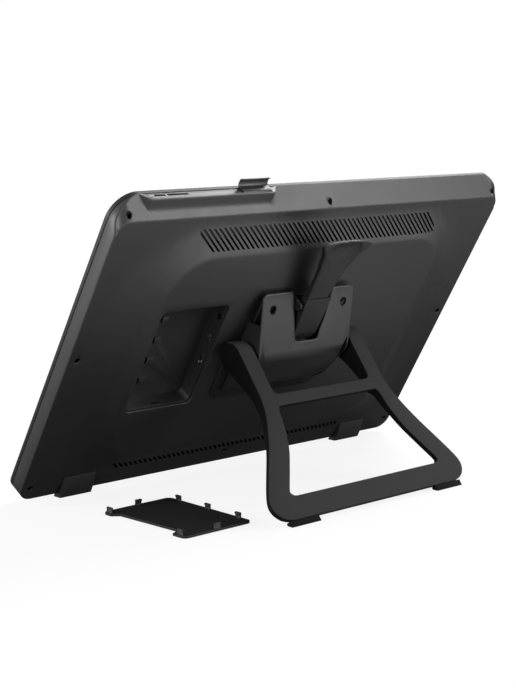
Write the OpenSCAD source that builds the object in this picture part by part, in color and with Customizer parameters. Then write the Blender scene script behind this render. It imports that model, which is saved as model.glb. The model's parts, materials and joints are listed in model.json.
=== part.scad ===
// Graphics tablet with screen: a leaning display on a folding A-frame stand, seen from the back.
// Millimetres. The part stands on z = 0, the screen faces -y, +x is the side with the port bay.
// The display pieces are drawn upright (y = depth from the glass, z = height) and leaned back together.

/* [Show] */
// which piece to draw

/* [Display body] */
// border beside the picture
side_border = 21.7; // [16:0.1:30]
// border above and below the picture
end_border = 36.95; // [30:0.05:46]
// depth from the glass to the flat rim
edge_t = 20; // [18:0.5:26]
// depth of the front frame at the edge
frame_t = 4; // [3:0.5:5]
// how far the top edge is cut back by the sloped chamfer
chamfer_h = 18.5; // [10:0.5:24]
// radius of the upper corners at the glass
corner_r = 26; // [18:1:40]
// radius of the lower corners
low_r = 15; // [10:1:24]
// moulded wall
wall = 2.5; // [2:0.1:3.5]
// lean of the display from the desk
tilt = 59.4; // [45:0.2:70]

/* [Raised back] */
// height of the raised middle above the rim
plateau_h = 12.5; // [9:0.5:18]
// flat side margin beside the raised middle
plateau_side = 77; // [60:1:95]
// margin above the raised middle
plateau_top = 57.3; // [45:0.5:70]
// margin below the raised middle
plateau_low = 44; // [34:0.5:54]
// spacing of the slanted vents
vent_pitch = 6.25; // [5.5:0.25:9]
// width of a vent
vent_w = 2.1; // [1.4:0.1:2.6]

/* [Screen] */
// seen picture width
active_w = 476.6; // [400:0.2:500]
// seen picture height
active_h = 268.1; // [220:0.1:284]
// cover glass thickness
glass_t = 1.2; // [0.8:0.1:2]

/* [Port bay] */
// width of the bay
bay_w = 80; // [70:1:86]
// height of the bay
bay_h = 117; // [100:1:130]
// depth of the bay from the raised back
bay_d = 17; // [15:0.5:18]
// height of the lowest wall of the bay
bay_z = 108; // [100:1:112]
// thickness of the loose cover
cover_t = 2.2; // [1.6:0.1:2.6]
// gap round the cover when it is seated
cover_gap = 0.3; // [0.2:0.05:0.5]

/* [Top ledge] */
// length of the button ledge
ledge_l = 149; // [140:1:160]
// depth of the ledge
ledge_d = 10; // [9.5:0.25:10.5]
// length of the pen clip
clip_l = 36; // [28:1:42]
// height of the pen clip above the ledge
clip_h = 9.5; // [7:0.5:12]

/* [Stand] */
// pivot height over the raised back
axis_off = 16; // [15:0.5:19]
// leg length from the pivot to the base edge
leg_l = 178.7; // [165:0.5:195]
// room between the hood and a leg
leg_gap = 3.8; // [2.5:0.1:6]
// width of a leg
leg_w = 19; // [15:0.5:24]
// outer width at the base
base_w = 268; // [230:1:300]
// plate thickness of the frame
plate_t = 6; // [5:0.5:8]
// radius of the leg's round end
knuckle_r = 15; // [13:0.5:15.5]
// shaft diameter
shaft_d = 8; // [6:0.5:9]
// rubber under the base bar
pad_t = 2; // [1.5:0.1:3]

/* [Hinge hood] */
// width of the hood
hood_w = 125.4; // [112:0.2:126]
// wall of the hood
hood_wall = 3; // [2.4:0.1:3.6]
// width of the release lever's finger pad
pad_w = 65; // [50:1:76]

/* [Hidden] */
$fn = 64;
eps = 0.01;
fit = 0.02;          // pressed and screwed round fits, radial
run = 0.05;          // running fits, radial
slot_gap = 0.35;     // round the buttons
body_w = active_w + 2 * side_border;
body_h = active_h + 2 * end_border;
back = edge_t + plateau_h;
top_rim = body_h - chamfer_h;
// plateau outline
pl_w = body_w - 2 * plateau_side;
pl_z0 = plateau_low;
pl_z1 = body_h - plateau_top;
slope = 28;
pl_r = 44;
// case screws: x, z
sx = body_w / 2 - 10;
screw_xz = [[sx, 15], [-sx, 15], [0, 15], [sx, body_h / 2], [-sx, body_h / 2],
            [sx - 2, body_h - 14], [2 - sx, body_h - 14], [0, body_h - 13.6]];
boss_y = 10;
// depth stack behind the frame
lcd_y = frame_t;
lcd_t = 2;
guide_t = 3;
tray_y = lcd_y + lcd_t + guide_t;
tray_t = 1;
dig_y = tray_y + tray_t;
dig_t = 0.8;
shield_y = dig_y + dig_t;
shield_t = 0.8;
stack_y = shield_y + shield_t;
panel_w = active_w + 5.4;
panel_h = active_h + 7.9;
// bay
bay_x0 = pl_w / 2 - bay_w - 5;
bay_x1 = bay_x0 + bay_w;
bay_floor = back - bay_d;
seat = 1.5;
bay_r = 6;
tub_t = 2;
tub_y = back - 2.9;
// board and ports, seated on the board's back face
board_t = 1.6;
board_y = back - wall - 8 - board_t;
port_y = board_y + board_t;
board_w = 150;
board_x1 = bay_x0 - tub_t - 0.5;
board_x0 = board_x1 - board_w;
board_z0 = bay_z + 4;
board_z1 = bay_z + bay_h - 3;
jack_z = bay_z + 100;
usb_z = bay_z + 73;
hdmi_z = bay_z + 49.5;
chip_x = 22;
chip_z = bay_z + 60;
post_xz = [[board_x0 + 7, board_z0 + 7], [board_x0 + 7, board_z1 - 7],
           [board_x1 - 9, board_z0 + 7], [board_x1 - 30, board_z1 - 7]];
// ledge with buttons, rear edge of its flat top
ledge_x1 = pl_w / 2 + 44;
ledge_x0 = ledge_x1 - ledge_l;
ledge_y = frame_t + ledge_d;
ledge_end = 8;
ledge_z = body_h - chamfer_h * ledge_d / (edge_t - frame_t);
btn_y = frame_t + 4.2;
led_x = ledge_x1 - 3;
pwr_l = 12;
pwr_x = led_x - 4 - pwr_l / 2;
rock_l = 24;
rock_x = pwr_x - pwr_l / 2 - 3 - rock_l / 2;
btn_w = 2.2;
btn_board_z = body_h - 13.5;
tact_h = 3;
// pen clip: hinge line near the ledge's rear edge
clip_x = ledge_x0 + 3 + clip_l / 2;
clip_y = ledge_y - 4.4;
clip_z = body_h - 1.6;
clip_r = 2.8;
clip_room = 0.5;
// hinge
stand_w = hood_w + 2 * (leg_w + leg_gap);
axis_y = back + axis_off;
axis_z = body_h / 2 + 2.2;
shaft_r = shaft_d / 2;
bush_r = shaft_r + 2;
cheek_x = 46;
cheek_t = 4;
base_y = back + 2.5;
plate_w = 112;
plate_low = 46;
plate_top = 7;
base_l = 148;
base_r = 12;
reach = 60;          // long enough to cut right through the hinge
base_z = axis_z - 65;
drum_r = 10;
shoe_gap = 0.3;
// lever pivot
lev_y = back + 12.5;
lev_z = axis_z + 52.8;
lev_r = 2;
lev_w = 28;
lug_x = lev_w / 2 + 1.3;
lug_t = 2.4;
wing_w = 4;
tail_l = 42;
tail_z = 36;
neck_l = 10;
flare_l = 20;
flare_x = 15.5;
pad_z = lev_z + 70;
pad_y = back + 26.5;
// hood outline
ear_z = axis_z + 65.3;
ear_y = back + 5.5;
nose_y = axis_y - 2;
nose_z = axis_z + 3.8;
nose_r = 17;
ear_x = 48.7;
ear_hole_z = ear_z - 15;
ear_y0 = back + 5;    // top of the post under each ear
notch_z = nose_z + 13.7;
// opening between the ears: near side, far side
notch = [[14, notch_z], [20.4, ear_z - 0.5], [21, ear_z + 0.1]];
notch_far = [[-33.4, ear_z + 0.1], [-32.8, ear_z - 0.6], [-16.8, notch_z]];
// leaning and standing
foot_h = 4.3;
lean_z = foot_h + edge_t * cos(tilt);
axis_up = lean_z + axis_z * sin(tilt) - axis_y * cos(tilt);
leg_back = knuckle_r - plate_t;
leg_hyp = sqrt(leg_l * leg_l + leg_back * leg_back);
swing = acos((axis_up - pad_t) / leg_hyp) - atan2(leg_back, leg_l);
open = swing + 90 - tilt;
pad_face = knuckle_r - 0.6;
pad_reach = (axis_up + pad_face * sin(swing)) / cos(swing);
far_y = axis_y * sin(tilt) + axis_z * cos(tilt) + pad_reach * sin(swing) + pad_face * cos(swing);
lean_y = -far_y / 2;
// loose cover on the desk, beside the path of the stand
cover_w = bay_w + 2 * seat - 2 * cover_gap;
cover_l = bay_h + 2 * seat - 2 * cover_gap;
cover_x = base_w / 2 + 0.8 + cover_w / 2;
cover_y = lean_y + edge_t * sin(tilt) + body_h / 2 * cos(tilt) + 51;

module lean() translate([0, lean_y, lean_z]) rotate([tilt - 90, 0, 0]) children();
module at_axis() lean() translate([0, axis_y, axis_z]) rotate([open, 0, 0]) children();
module along_x(l) rotate([90, 0, 90]) linear_extrude(l, center = true) children();
module rounded(w, h, r) {
  square([w - 2 * r, h], center = true);
  square([w, h - 2 * r], center = true);
  for (x = [-1, 1], z = [-1, 1]) translate([x * (w / 2 - r), z * (h / 2 - r)]) circle(r);
}
// plate facing y, from y0 to y1, between heights z0 and z1
module slab(w, z0, z1, r, y0, y1)
  translate([0, y1, (z0 + z1) / 2]) rotate([90, 0, 0]) linear_extrude(y1 - y0) rounded(w, z1 - z0, r);
module mid(w, h, r, y0, y1) slab(w, body_h / 2 - h / 2, body_h / 2 + h / 2, r, y0, y1);
module box(x0, x1, y0, y1, z0, z1) translate([x0, y0, z0]) cube([x1 - x0, y1 - y0, z1 - z0]);
module rod_y(x, z, r, y0, y1) translate([x, y1, z]) rotate([90, 0, 0]) cylinder(r = r, h = y1 - y0);
module rod_x(y, z, r, x0, x1) translate([x0, y, z]) rotate([0, 90, 0]) cylinder(r = r, h = x1 - x0);
module both() { children(); mirror([1, 0, 0]) children(); }
function arc(y, z, r, a0, a1, n) =
  [for (i = [0:n]) let (a = a0 + (a1 - a0) * i / n) [y + r * cos(a), z + r * sin(a)]];

// outline of the glass side, set in by t
module inset(t, y0, y1) intersection() {
  slab(body_w - 2 * t, t, 2 * body_h, low_r - t, y0, y1);
  slab(body_w - 2 * t, -body_h, body_h - t, corner_r - t, y0, y1);
}
// the same outline cut by a leaning prism with its own rounded upper corners
edge_lean = atan2(chamfer_h, edge_t - frame_t);
rim_r = corner_r / 2;
module edge_shape(t, y0, y1) intersection() {
  inset(t, y0, y1);
  translate([0, frame_t, body_h]) rotate([-edge_lean, 0, 0])
    slab(body_w - 2 * t, -3 * body_h, -t, rim_r - t, -body_h, body_h);
}
// raised plate with sloped sides of width s and coned corners, from y0 to y1
module raised(w, z0, z1, r, s, y0, y1) {
  for (x = [-1, 1], z = [z0 + r, z1 - r]) translate([x * (w / 2 - r), y0, z]) rotate([-90, 0, 0])
    cylinder(r1 = r + s, r2 = r, h = y1 - y0);
  along_x(w - 2 * r) polygon([[y0, z0 - s], [y1, z0], [y1, z1], [y0, z1 + s]]);
  translate([0, 0, z0 + r]) linear_extrude(z1 - z0 - 2 * r)
    polygon([[-w / 2 - s, y0], [w / 2 + s, y0], [w / 2, y1], [-w / 2, y1]]);
}
module plateau_shape(t) raised(pl_w - t, pl_z0 + 0.5 * t, pl_z1 - 0.5 * t, pl_r,
  slope * (back - edge_t + 3) / plateau_h, edge_t - 3 - t, back - t);
// soft foot of the side slopes
module skirt_shape() raised(pl_w + 34, pl_z0 + 12, pl_z1 - 12, 50, 46, edge_t - 1, edge_t + 5);
module ledge_shape() intersection() {
  along_x(2 * body_w) polygon([[frame_t, body_h], [ledge_y, body_h], [ledge_y, ledge_z - 0.3],
    [ledge_y - 2.5, ledge_z + 2.3], [frame_t + 2, ledge_z + 2.3], [frame_t, body_h - 6]]);
  translate([0, 0, body_h - chamfer_h]) linear_extrude(2 * chamfer_h)
    polygon([[ledge_x0 - ledge_end, frame_t], [ledge_x1 + ledge_end, frame_t], [ledge_x1, ledge_y],
      [ledge_x0, ledge_y]]);
}
// slanted slots between heights z0 and z1
module vents(z0, z1) intersection() {
  box(-pl_w / 2 + 19.5, pl_w / 2 - 21.5, back - 24, back + 2, z0, z1);
  union() for (i = [-1:floor((pl_w - 54) / vent_pitch)])
    translate([pl_w / 2 - 35 - i * vent_pitch, back, (z0 + z1) / 2]) rotate([0, 45, 0])
      cube([vent_w, 60, 2 * (z1 - z0)], center = true);
}
module bay_hook(z) {
  box(bay_x1 - 9, bay_x1 - 7, bay_floor - eps, bay_floor + 11, z - 3.5, z + 3.5);
  box(bay_x1 - 14, bay_x1 - 7, bay_floor + 9, bay_floor + 11, z - 3.5, z + 3.5);
}

module rear_cover() color([0.16, 0.16, 0.17]) lean() difference() {
  union() {
    difference() {
      union() {
        edge_shape(0, frame_t, edge_t);
        skirt_shape();
        plateau_shape(0);
      }
      edge_shape(wall, frame_t - 1, edge_t - wall);
      plateau_shape(wall);
    }
    ledge_shape();
    // flange round the port bay
    bay_block(tub_y, back - 1);
    // tubes for the case screws
    intersection() {
      union() for (p = screw_xz) rod_y(p[0], p[1], 4.6, boss_y, edge_t);
      edge_shape(0.5, frame_t - 1, edge_t - 0.5);
    }
    // posts that press on the shield plate
    for (x = [-1, 1], z = [-1, 1])
      rod_y(x * (panel_w / 2 - 16), body_h / 2 + z * (panel_h / 2 - 16), 4, stack_y, edge_t - wall + 1);
    // bosses for the hinge base
    for (x = [-40, 40], z = [-38.2, 32]) rod_y(x, axis_z + z, 4, port_y + 1, back - 1);
  }
  // mouth of the port bay and the seat for its cover
  slab_bay(0, bay_floor, back + 1);
  slab_bay(seat, back - cover_t, back + 1);
  // case screw holes
  for (p = screw_xz) {
    rod_y(p[0], p[1], 2.8, boss_y + 2, back);
    rod_y(p[0], p[1], 1.6, boss_y - 1, back);
  }
  for (x = [-40, 40], z = [-38.2, 32]) rod_y(x, axis_z + z, 1.5 + fit, port_y, back + 1);
  vents(pl_z1 + 5.5, pl_z1 + slope - 2.2);
  vents(pl_z0 - slope + 6.5, pl_z0 - 10.5);
  // buttons, light and pen clip in the ledge
  for (b = [[pwr_x, pwr_l], [rock_x, rock_l]])
    box(b[0] - b[1] / 2 - slot_gap, b[0] + b[1] / 2 + slot_gap, btn_y - btn_w / 2 - slot_gap,
        btn_y + btn_w / 2 + slot_gap, btn_board_z - 1, body_h + 1);
  translate([led_x, btn_y, body_h - 14]) cylinder(r = 0.8 + fit, h = 20);
  rod_y(rock_x, body_h - 4.5, 0.6 + fit, btn_y - btn_w / 2 - 1.3, btn_y + btn_w / 2 + 1.3);
  box(clip_x - clip_l / 2 - 0.4, clip_x + clip_l / 2 + 0.4, clip_y - clip_r - clip_room,
      clip_y + clip_r + clip_room, clip_z - clip_r - clip_room, body_h + 1);
  rod_x(clip_y, clip_z, 0.8 + fit, clip_x - clip_l / 2 - 3, clip_x + clip_l / 2 + 3);
}
// the bay's outline, grown by g, and the block round it
module slab_bay(g, y0, y1)
  translate([(bay_x0 + bay_x1) / 2, 0, 0]) slab(bay_w + 2 * g, bay_z - g, bay_z + bay_h + g, bay_r, y0, y1);
module bay_block(y0, y1)
  box(bay_x0 - tub_t, bay_x1 + tub_t, y0, y1, bay_z - tub_t, bay_z + bay_h + tub_t);
// tub behind the bay's mouth, with hooks on its floor and the ports in its inner wall
module port_tub() color([0.13, 0.13, 0.14]) lean() difference() {
  bay_block(bay_floor - tub_t, tub_y);
  difference() {
    slab_bay(0, bay_floor, back + 1);
    for (i = [0:3]) bay_hook(bay_z + bay_h - 12 - i * (bay_h - 20) / 4);
  }
  // the cover's clip slots
  for (z = [bay_z - 1.4, bay_z + bay_h + 1.4])
    box((bay_x0 + bay_x1) / 2 - 5, (bay_x0 + bay_x1) / 2 + 5, back - 7, back - 5, z - 1.5, z + 1.5);
  // port mouths
  rod_x(port_y + 4, jack_z, 3.4, bay_x0 - 3, bay_x0 + 1);
  box(bay_x0 - 3, bay_x0 + 1, port_y - 0.2, port_y + 3.9, usb_z - 4.8, usb_z + 4.8);
  box(bay_x0 - 3, bay_x0 + 1, port_y - 0.2, port_y + 6.1, hdmi_z - 7.8, hdmi_z + 7.8);
}

module front_frame() color([0.09, 0.09, 0.1]) lean() difference() {
  union() {
    inset(0, 0, frame_t);
    // locating lip along the sides and the lower edge, inside the rear cover
    difference() {
      inset(wall + 0.2, frame_t - 1, frame_t + 2);
      inset(wall + 1.6, frame_t - 2, frame_t + 3);
      box(-body_w, body_w, frame_t, frame_t + 4, body_h - 2 * corner_r, body_h);
    }
    intersection() {
      union() for (p = screw_xz) rod_y(p[0], p[1], 4, frame_t - 1, boss_y);
      edge_shape(wall + 0.2, frame_t - 2, boss_y);
    }
  }
  inset(4, -1, glass_t);
  mid(active_w + 3, active_h + 3, 1, -1, frame_t + 1);
  for (p = screw_xz) rod_y(p[0], p[1], 1.5 + fit, frame_t - 2, boss_y + 1);
}
module cover_glass() color([0.03, 0.03, 0.04]) lean() inset(4.2, 0, glass_t);
module lcd_panel() color([0.05, 0.06, 0.08]) lean() mid(panel_w, panel_h, 1, lcd_y, lcd_y + lcd_t);
module light_guide() color([0.9, 0.92, 0.95]) lean() mid(panel_w, panel_h, 1, lcd_y + lcd_t, tray_y);
module backlight_tray() color([0.7, 0.71, 0.72]) lean() difference() {
  mid(panel_w + 4, panel_h + 4, 2, lcd_y, dig_y);
  mid(panel_w + 1, panel_h + 1, 1, lcd_y - 1, tray_y);
}
module digitizer_board() color([0.1, 0.3, 0.18]) lean() mid(panel_w - 2, panel_h - 2, 1, dig_y, shield_y);
module shield_plate() color([0.75, 0.76, 0.78]) lean() difference() {
  mid(panel_w + 2, panel_h + 2, 2, shield_y, stack_y);
  for (p = post_xz) rod_y(p[0], p[1], 1.3 + fit, shield_y - 1, stack_y + 1);
  // windows that save weight
  for (x = [-1, 1]) translate([x * panel_w / 3, 0, body_h / 2])
    slab(panel_w / 8, -panel_h / 4, panel_h / 4, 8, shield_y - 1, stack_y + 1);
}
module main_board() color([0.05, 0.28, 0.14]) lean() difference() {
  box(board_x0, board_x1, board_y, port_y, board_z0, board_z1);
  for (p = post_xz) rod_y(p[0], p[1], 1.5, board_y - 1, port_y + 1);
}
module board_standoffs() color([0.75, 0.62, 0.3]) lean() for (p = post_xz) difference() {
  union() {
    translate([p[0], board_y, p[1]]) rotate([90, 0, 0]) cylinder(r = 3, h = board_y - stack_y, $fn = 24);
    rod_y(p[0], p[1], 1.3, shield_y, stack_y + 1);
  }
  rod_y(p[0], p[1], 1.2 + fit, board_y - 5, board_y + 1);
}
module board_screws() color([0.7, 0.7, 0.72]) lean() for (p = post_xz) {
  rod_y(p[0], p[1], 2.6, port_y, port_y + 1.6);
  rod_y(p[0], p[1], 1.2, board_y - 4, port_y + 0.1);
}
module scaler_chip() color([0.08, 0.08, 0.09]) lean()
  box(chip_x - 10, chip_x + 10, port_y, port_y + 1.4, chip_z - 10, chip_z + 10);
module heatsink() color([0.2, 0.2, 0.22]) lean() difference() {
  box(chip_x - 14, chip_x + 14, port_y + 1.4, port_y + 7.2, chip_z - 14, chip_z + 14);
  for (i = [-3:3])
    box(chip_x + i * 3.9 - 1.2, chip_x + i * 3.9 + 1.2, port_y + 3, port_y + 9, chip_z - 20, chip_z + 20);
}
module hdmi_port() color([0.72, 0.72, 0.74]) lean() {
  difference() {
    box(bay_x0 - 12, bay_x0 - 0.2, port_y, port_y + 5.9, hdmi_z - 7.5, hdmi_z + 7.5);
    difference() {
      box(bay_x0 - 10.5, bay_x0 + 1, port_y + 0.6, port_y + 5.3, hdmi_z - 7, hdmi_z + 7);
      for (s = [-1, 1]) translate([bay_x0 - 6, port_y + 0.6, hdmi_z + s * 7]) rotate([45, 0, 0])
        cube([20, 2.4, 2.4], center = true);
    }
  }
  box(bay_x0 - 11, bay_x0 - 2, port_y + 2.4, port_y + 3.5, hdmi_z - 5.5, hdmi_z + 5.5);
}
module usb_port() color([0.72, 0.72, 0.74]) lean() {
  difference() {
    box(bay_x0 - 8, bay_x0 - 0.2, port_y, port_y + 3.7, usb_z - 4.5, usb_z + 4.5);
    box(bay_x0 - 7, bay_x0 + 1, port_y + 0.5, port_y + 3.2, usb_z - 4, usb_z + 4);
  }
  box(bay_x0 - 7.5, bay_x0 - 1.6, port_y + 1.5, port_y + 2.2, usb_z - 3, usb_z + 3);
}
module dc_jack() color([0.07, 0.07, 0.08]) lean() {
  difference() {
    union() {
      box(bay_x0 - 14, bay_x0 - 2.3, port_y, port_y + 7.8, jack_z - 4.6, jack_z + 4.6);
      rod_x(port_y + 4, jack_z, 3.2, bay_x0 - 4, bay_x0 - 0.2);
    }
    rod_x(port_y + 4, jack_z, 2.8, bay_x0 - 11, bay_x0 + 1);
  }
  rod_x(port_y + 4, jack_z, 1.1, bay_x0 - 12, bay_x0 - 1.5);
}
// flat cable from the board's lower edge, folded down on to the tray behind the shield
module panel_ribbon() color([0.85, 0.8, 0.6]) lean() translate([board_x0 + 40, 0, 0]) along_x(30)
  polygon([[port_y, board_z0 + 8], [port_y + 0.3, board_z0 + 8], [port_y + 0.3, board_z0 - 1.2],
    [stack_y + 0.3, board_z0 - 6.6], [stack_y + 0.3, board_z0 - 28], [stack_y, board_z0 - 28],
    [stack_y, board_z0 - 6.2], [port_y, board_z0 - 0.8]]);
module button_board() color([0.05, 0.28, 0.14]) lean() {
  box(rock_x - rock_l / 2 - 4, led_x + 4, frame_t, frame_t + 6, btn_board_z - 1.2, btn_board_z);
}
module tact_switches() color([0.6, 0.6, 0.62]) lean() for (x = [pwr_x, rock_x - 7.5, rock_x + 7.5]) {
  box(x - 2.2, x + 2.2, btn_y - 1.1, btn_y + 1.1, btn_board_z, btn_board_z + tact_h - 1);
  translate([x, btn_y, btn_board_z]) cylinder(r = 0.9, h = tact_h);
}
module power_button() color([0.05, 0.05, 0.06]) lean() {
  box(pwr_x - pwr_l / 2, pwr_x + pwr_l / 2, btn_y - btn_w / 2, btn_y + btn_w / 2, body_h - 6, body_h + 0.1);
  box(pwr_x - 2, pwr_x + 2, btn_y - 0.9, btn_y + 0.9, btn_board_z + tact_h + 0.7, body_h - 5);
}
module menu_rocker() color([0.05, 0.05, 0.06]) lean() difference() {
  union() {
    box(rock_x - rock_l / 2, rock_x + rock_l / 2, btn_y - btn_w / 2, btn_y + btn_w / 2,
      body_h - 6, body_h + 0.1);
    for (s = [-1, 1]) box(rock_x + s * 7.5 - 1.5, rock_x + s * 7.5 + 1.5, btn_y - 0.9, btn_y + 0.9,
      btn_board_z + tact_h + 0.7, body_h - 5);
  }
  translate([rock_x, btn_y, body_h - 4.5]) rotate([90, 0, 0]) cylinder(r = 0.6 + run, h = 10, center = true);
}
module rocker_pin() color([0.7, 0.7, 0.72]) lean()
  rod_y(rock_x, body_h - 4.5, 0.6, btn_y - btn_w / 2 - 1.2, btn_y + btn_w / 2 + 1.2);
module status_led() color([0.8, 0.85, 0.95]) lean() {
  translate([led_x, btn_y, btn_board_z + 1]) cylinder(r = 0.8, h = body_h - btn_board_z - 1);
  box(led_x - 1.2, led_x + 1.2, btn_y - 1.2, btn_y + 1.2, btn_board_z, btn_board_z + 1.2);
}
module case_screws() color([0.1, 0.1, 0.11]) lean() for (p = screw_xz) difference() {
  union() {
    rod_y(p[0], p[1], 2.6, boss_y + 2, boss_y + 3.8);
    rod_y(p[0], p[1], 1.5, frame_t - 1, boss_y + 2.5);
  }
  for (a = [0, 90]) translate([p[0], boss_y + 3.8, p[1]]) rotate([0, a, 0])
    cube([3, 1.6, 0.7], center = true);
}
// wedge feet round the lower rear edge, flat on the desk
module body_feet() color([0.06, 0.06, 0.06]) intersection() {
  lean() both() translate([body_w / 2 - 67.5, 0, 0]) along_x(38)
    polygon([[edge_t - 5, 0], [edge_t - 5, -12], [edge_t + 5, -12], [edge_t + 4, 8], [edge_t + 1, 21],
      [edge_t, 21], [edge_t, 0]]);
  translate([-body_w, -body_w, 0]) cube(2 * body_w);
}
module pen_clip() color([0.1, 0.1, 0.11]) lean() translate([clip_x, 0, 0]) difference() {
  union() {
    rod_x(clip_y, clip_z, clip_r, -clip_l / 2, clip_l / 2);
    // floor and tall hooked wall
    along_x(clip_l) polygon([[clip_y, clip_z], [clip_y + 0.8, clip_z + clip_r - 0.2],
      [clip_y - 0.6, clip_z + 3.2], [clip_y - 5.6, clip_z + 3.2],
      [clip_y - 7, clip_z + 5.4], [clip_y - 7, clip_z + clip_h - 0.5], [clip_y - 5.4, clip_z + clip_h + 1],
      [clip_y - 6.4, clip_z + clip_h + 2], [clip_y - 8.4, clip_z + clip_h], [clip_y - 8.4, clip_z + 4.6],
      [clip_y - 6.6, clip_z + 1.9], [clip_y - 1, clip_z + 1.9]]);
  }
  rod_x(clip_y, clip_z, 0.8 + run, -clip_l, clip_l);
}
module pen_clip_pin() color([0.7, 0.7, 0.72]) lean()
  rod_x(clip_y, clip_z, 0.8, clip_x - clip_l / 2 - 2.6, clip_x + clip_l / 2 + 2.6);

// loose cover on the desk, inside face up
module cover_clip(x, y, a) translate([x, y, 0]) rotate([0, 0, a]) {
  translate([-3.5, -1.5, cover_t - eps]) cube([7, 1.5, 5.4]);
  translate([-3.5, -2.4, cover_t + 3.6]) cube([7, 1.2, 1.6]);
}
module port_cover() color([0.1, 0.1, 0.11]) translate([cover_x, cover_y, 0]) {
  difference() {
    linear_extrude(cover_t) rounded(cover_w, cover_l, bay_r);
    // cable gap along the outer long side
    translate([0, 0, -1]) linear_extrude(cover_t + 2)
      polygon([[cover_w / 2 + 1, -cover_l / 2 + 12], [cover_w / 2 - 7, -cover_l / 2 + 18],
        [cover_w / 2 - 11, cover_l / 2 - 26], [cover_w / 2 - 11, cover_l / 2 - 22],
        [cover_w / 2 + 1, cover_l / 2 - 16]]);
  }
  for (y = [-0.36, 0, 0.36]) cover_clip(-cover_w / 2 + seat + 0.2, y * cover_l, 90);
  cover_clip(0, -cover_l / 2 + seat + 0.2, 180);
  cover_clip(0, cover_l / 2 - seat - 0.2, 0);
  cover_clip(cover_w / 2 - seat - 0.2, -cover_l / 2 + 7.5, 270);
  cover_clip(cover_w / 2 - seat - 0.2, cover_l / 2 - 9, 270);
}

module hinge_base() color([0.45, 0.46, 0.48]) lean() difference() {
  union() {
    slab(plate_w, axis_z - plate_low, ear_z - plate_top, 5, back, base_y);
    slab(base_l, base_z, axis_z - base_r, base_r, back, base_y);
    both() {
      box(cheek_x, cheek_x + cheek_t, base_y - eps, axis_y, axis_z - 9, axis_z + 9);
      rod_x(axis_y, axis_z, 9, cheek_x, cheek_x + cheek_t);
      box(lug_x, lug_x + lug_t, base_y - eps, lev_y, lev_z - 5, lev_z + 5);
      rod_x(lev_y, lev_z, 5, lug_x, lug_x + lug_t);
      rod_y(ear_x, ear_hole_z, 4.5, base_y - 1, ear_y0);
    }
  }
  both() {
    rod_x(axis_y, axis_z, bush_r + fit, cheek_x - 1, cheek_x + cheek_t + 1);
    rod_x(lev_y, lev_z, lev_r + fit, lug_x - 1, lug_x + 5);
    rod_y(ear_x, ear_hole_z, 2 + fit, back - 1, back + 9);
    for (z = [-38.2, 32]) {
      rod_y(40, axis_z + z, 1.7, back - 1, base_y + 1);
      translate([40, base_y + eps, axis_z + z]) rotate([90, 0, 0]) cylinder(r1 = 3.2, r2 = 1.7, h = 1.5);
    }
  }
}
module base_screws() color([0.7, 0.7, 0.72]) lean() for (x = [-40, 40], z = [-38.2, 32]) {
  translate([x, base_y, axis_z + z]) rotate([90, 0, 0]) cylinder(r1 = 3.15, r2 = 1.5, h = 1.6);
  rod_y(x, axis_z + z, 1.5, port_y + 2, base_y - 1);
}
module hinge_bushes() color([0.75, 0.62, 0.35]) lean() both() difference() {
  union() {
    rod_x(axis_y, axis_z, bush_r, cheek_x, cheek_x + cheek_t);
    rod_x(axis_y, axis_z, bush_r + 1.2, cheek_x + cheek_t, cheek_x + cheek_t + 1.5);
  }
  rod_x(axis_y, axis_z, shaft_r + run, cheek_x - 1, cheek_x + cheek_t + 5);
}
module hinge_shaft() color([0.7, 0.71, 0.73]) at_axis()
  rod_x(0, 0, shaft_r, -stand_w / 2 + 3.5, stand_w / 2 - 3.5);
module shaft_washers() color([0.85, 0.85, 0.82]) at_axis() both() difference() {
  rod_x(0, 0, shaft_r + 3, hood_w / 2 + 0.4, stand_w / 2 - leg_w);
  rod_x(0, 0, shaft_r + fit, 0, stand_w);
}
module lock_drum() color([0.55, 0.56, 0.58]) at_axis() difference() {
  union() {
    rod_x(0, 0, drum_r, -9, 9);
    rod_x(0, 0, drum_r - 3, -12, 12);
  }
  rod_x(0, 0, shaft_r + fit, -20, 20);
}
// close wound coils drawn as ribbed sleeves with straight legs
module coil(ri, wire, l, n) rotate([0, 90, 0]) rotate_extrude() {
  translate([ri, 0]) square([wire, l]);
  for (i = [0:n - 1]) translate([ri + wire, (i + 0.5) * l / n]) circle(l / n / 2, $fn = 20);
}
module torsion_springs() color([0.6, 0.6, 0.62]) lean() both() translate([13.2, axis_y, axis_z]) {
  coil(shaft_r + 0.8, 0.9, cheek_x - 13.2, 15);
  translate([cheek_x - 15.5, -axis_off + 2.5, -shaft_r - 1.4]) rotate([-90, 0, 0])
    cylinder(r = 0.9, h = axis_off - 2.5);
}

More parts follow.
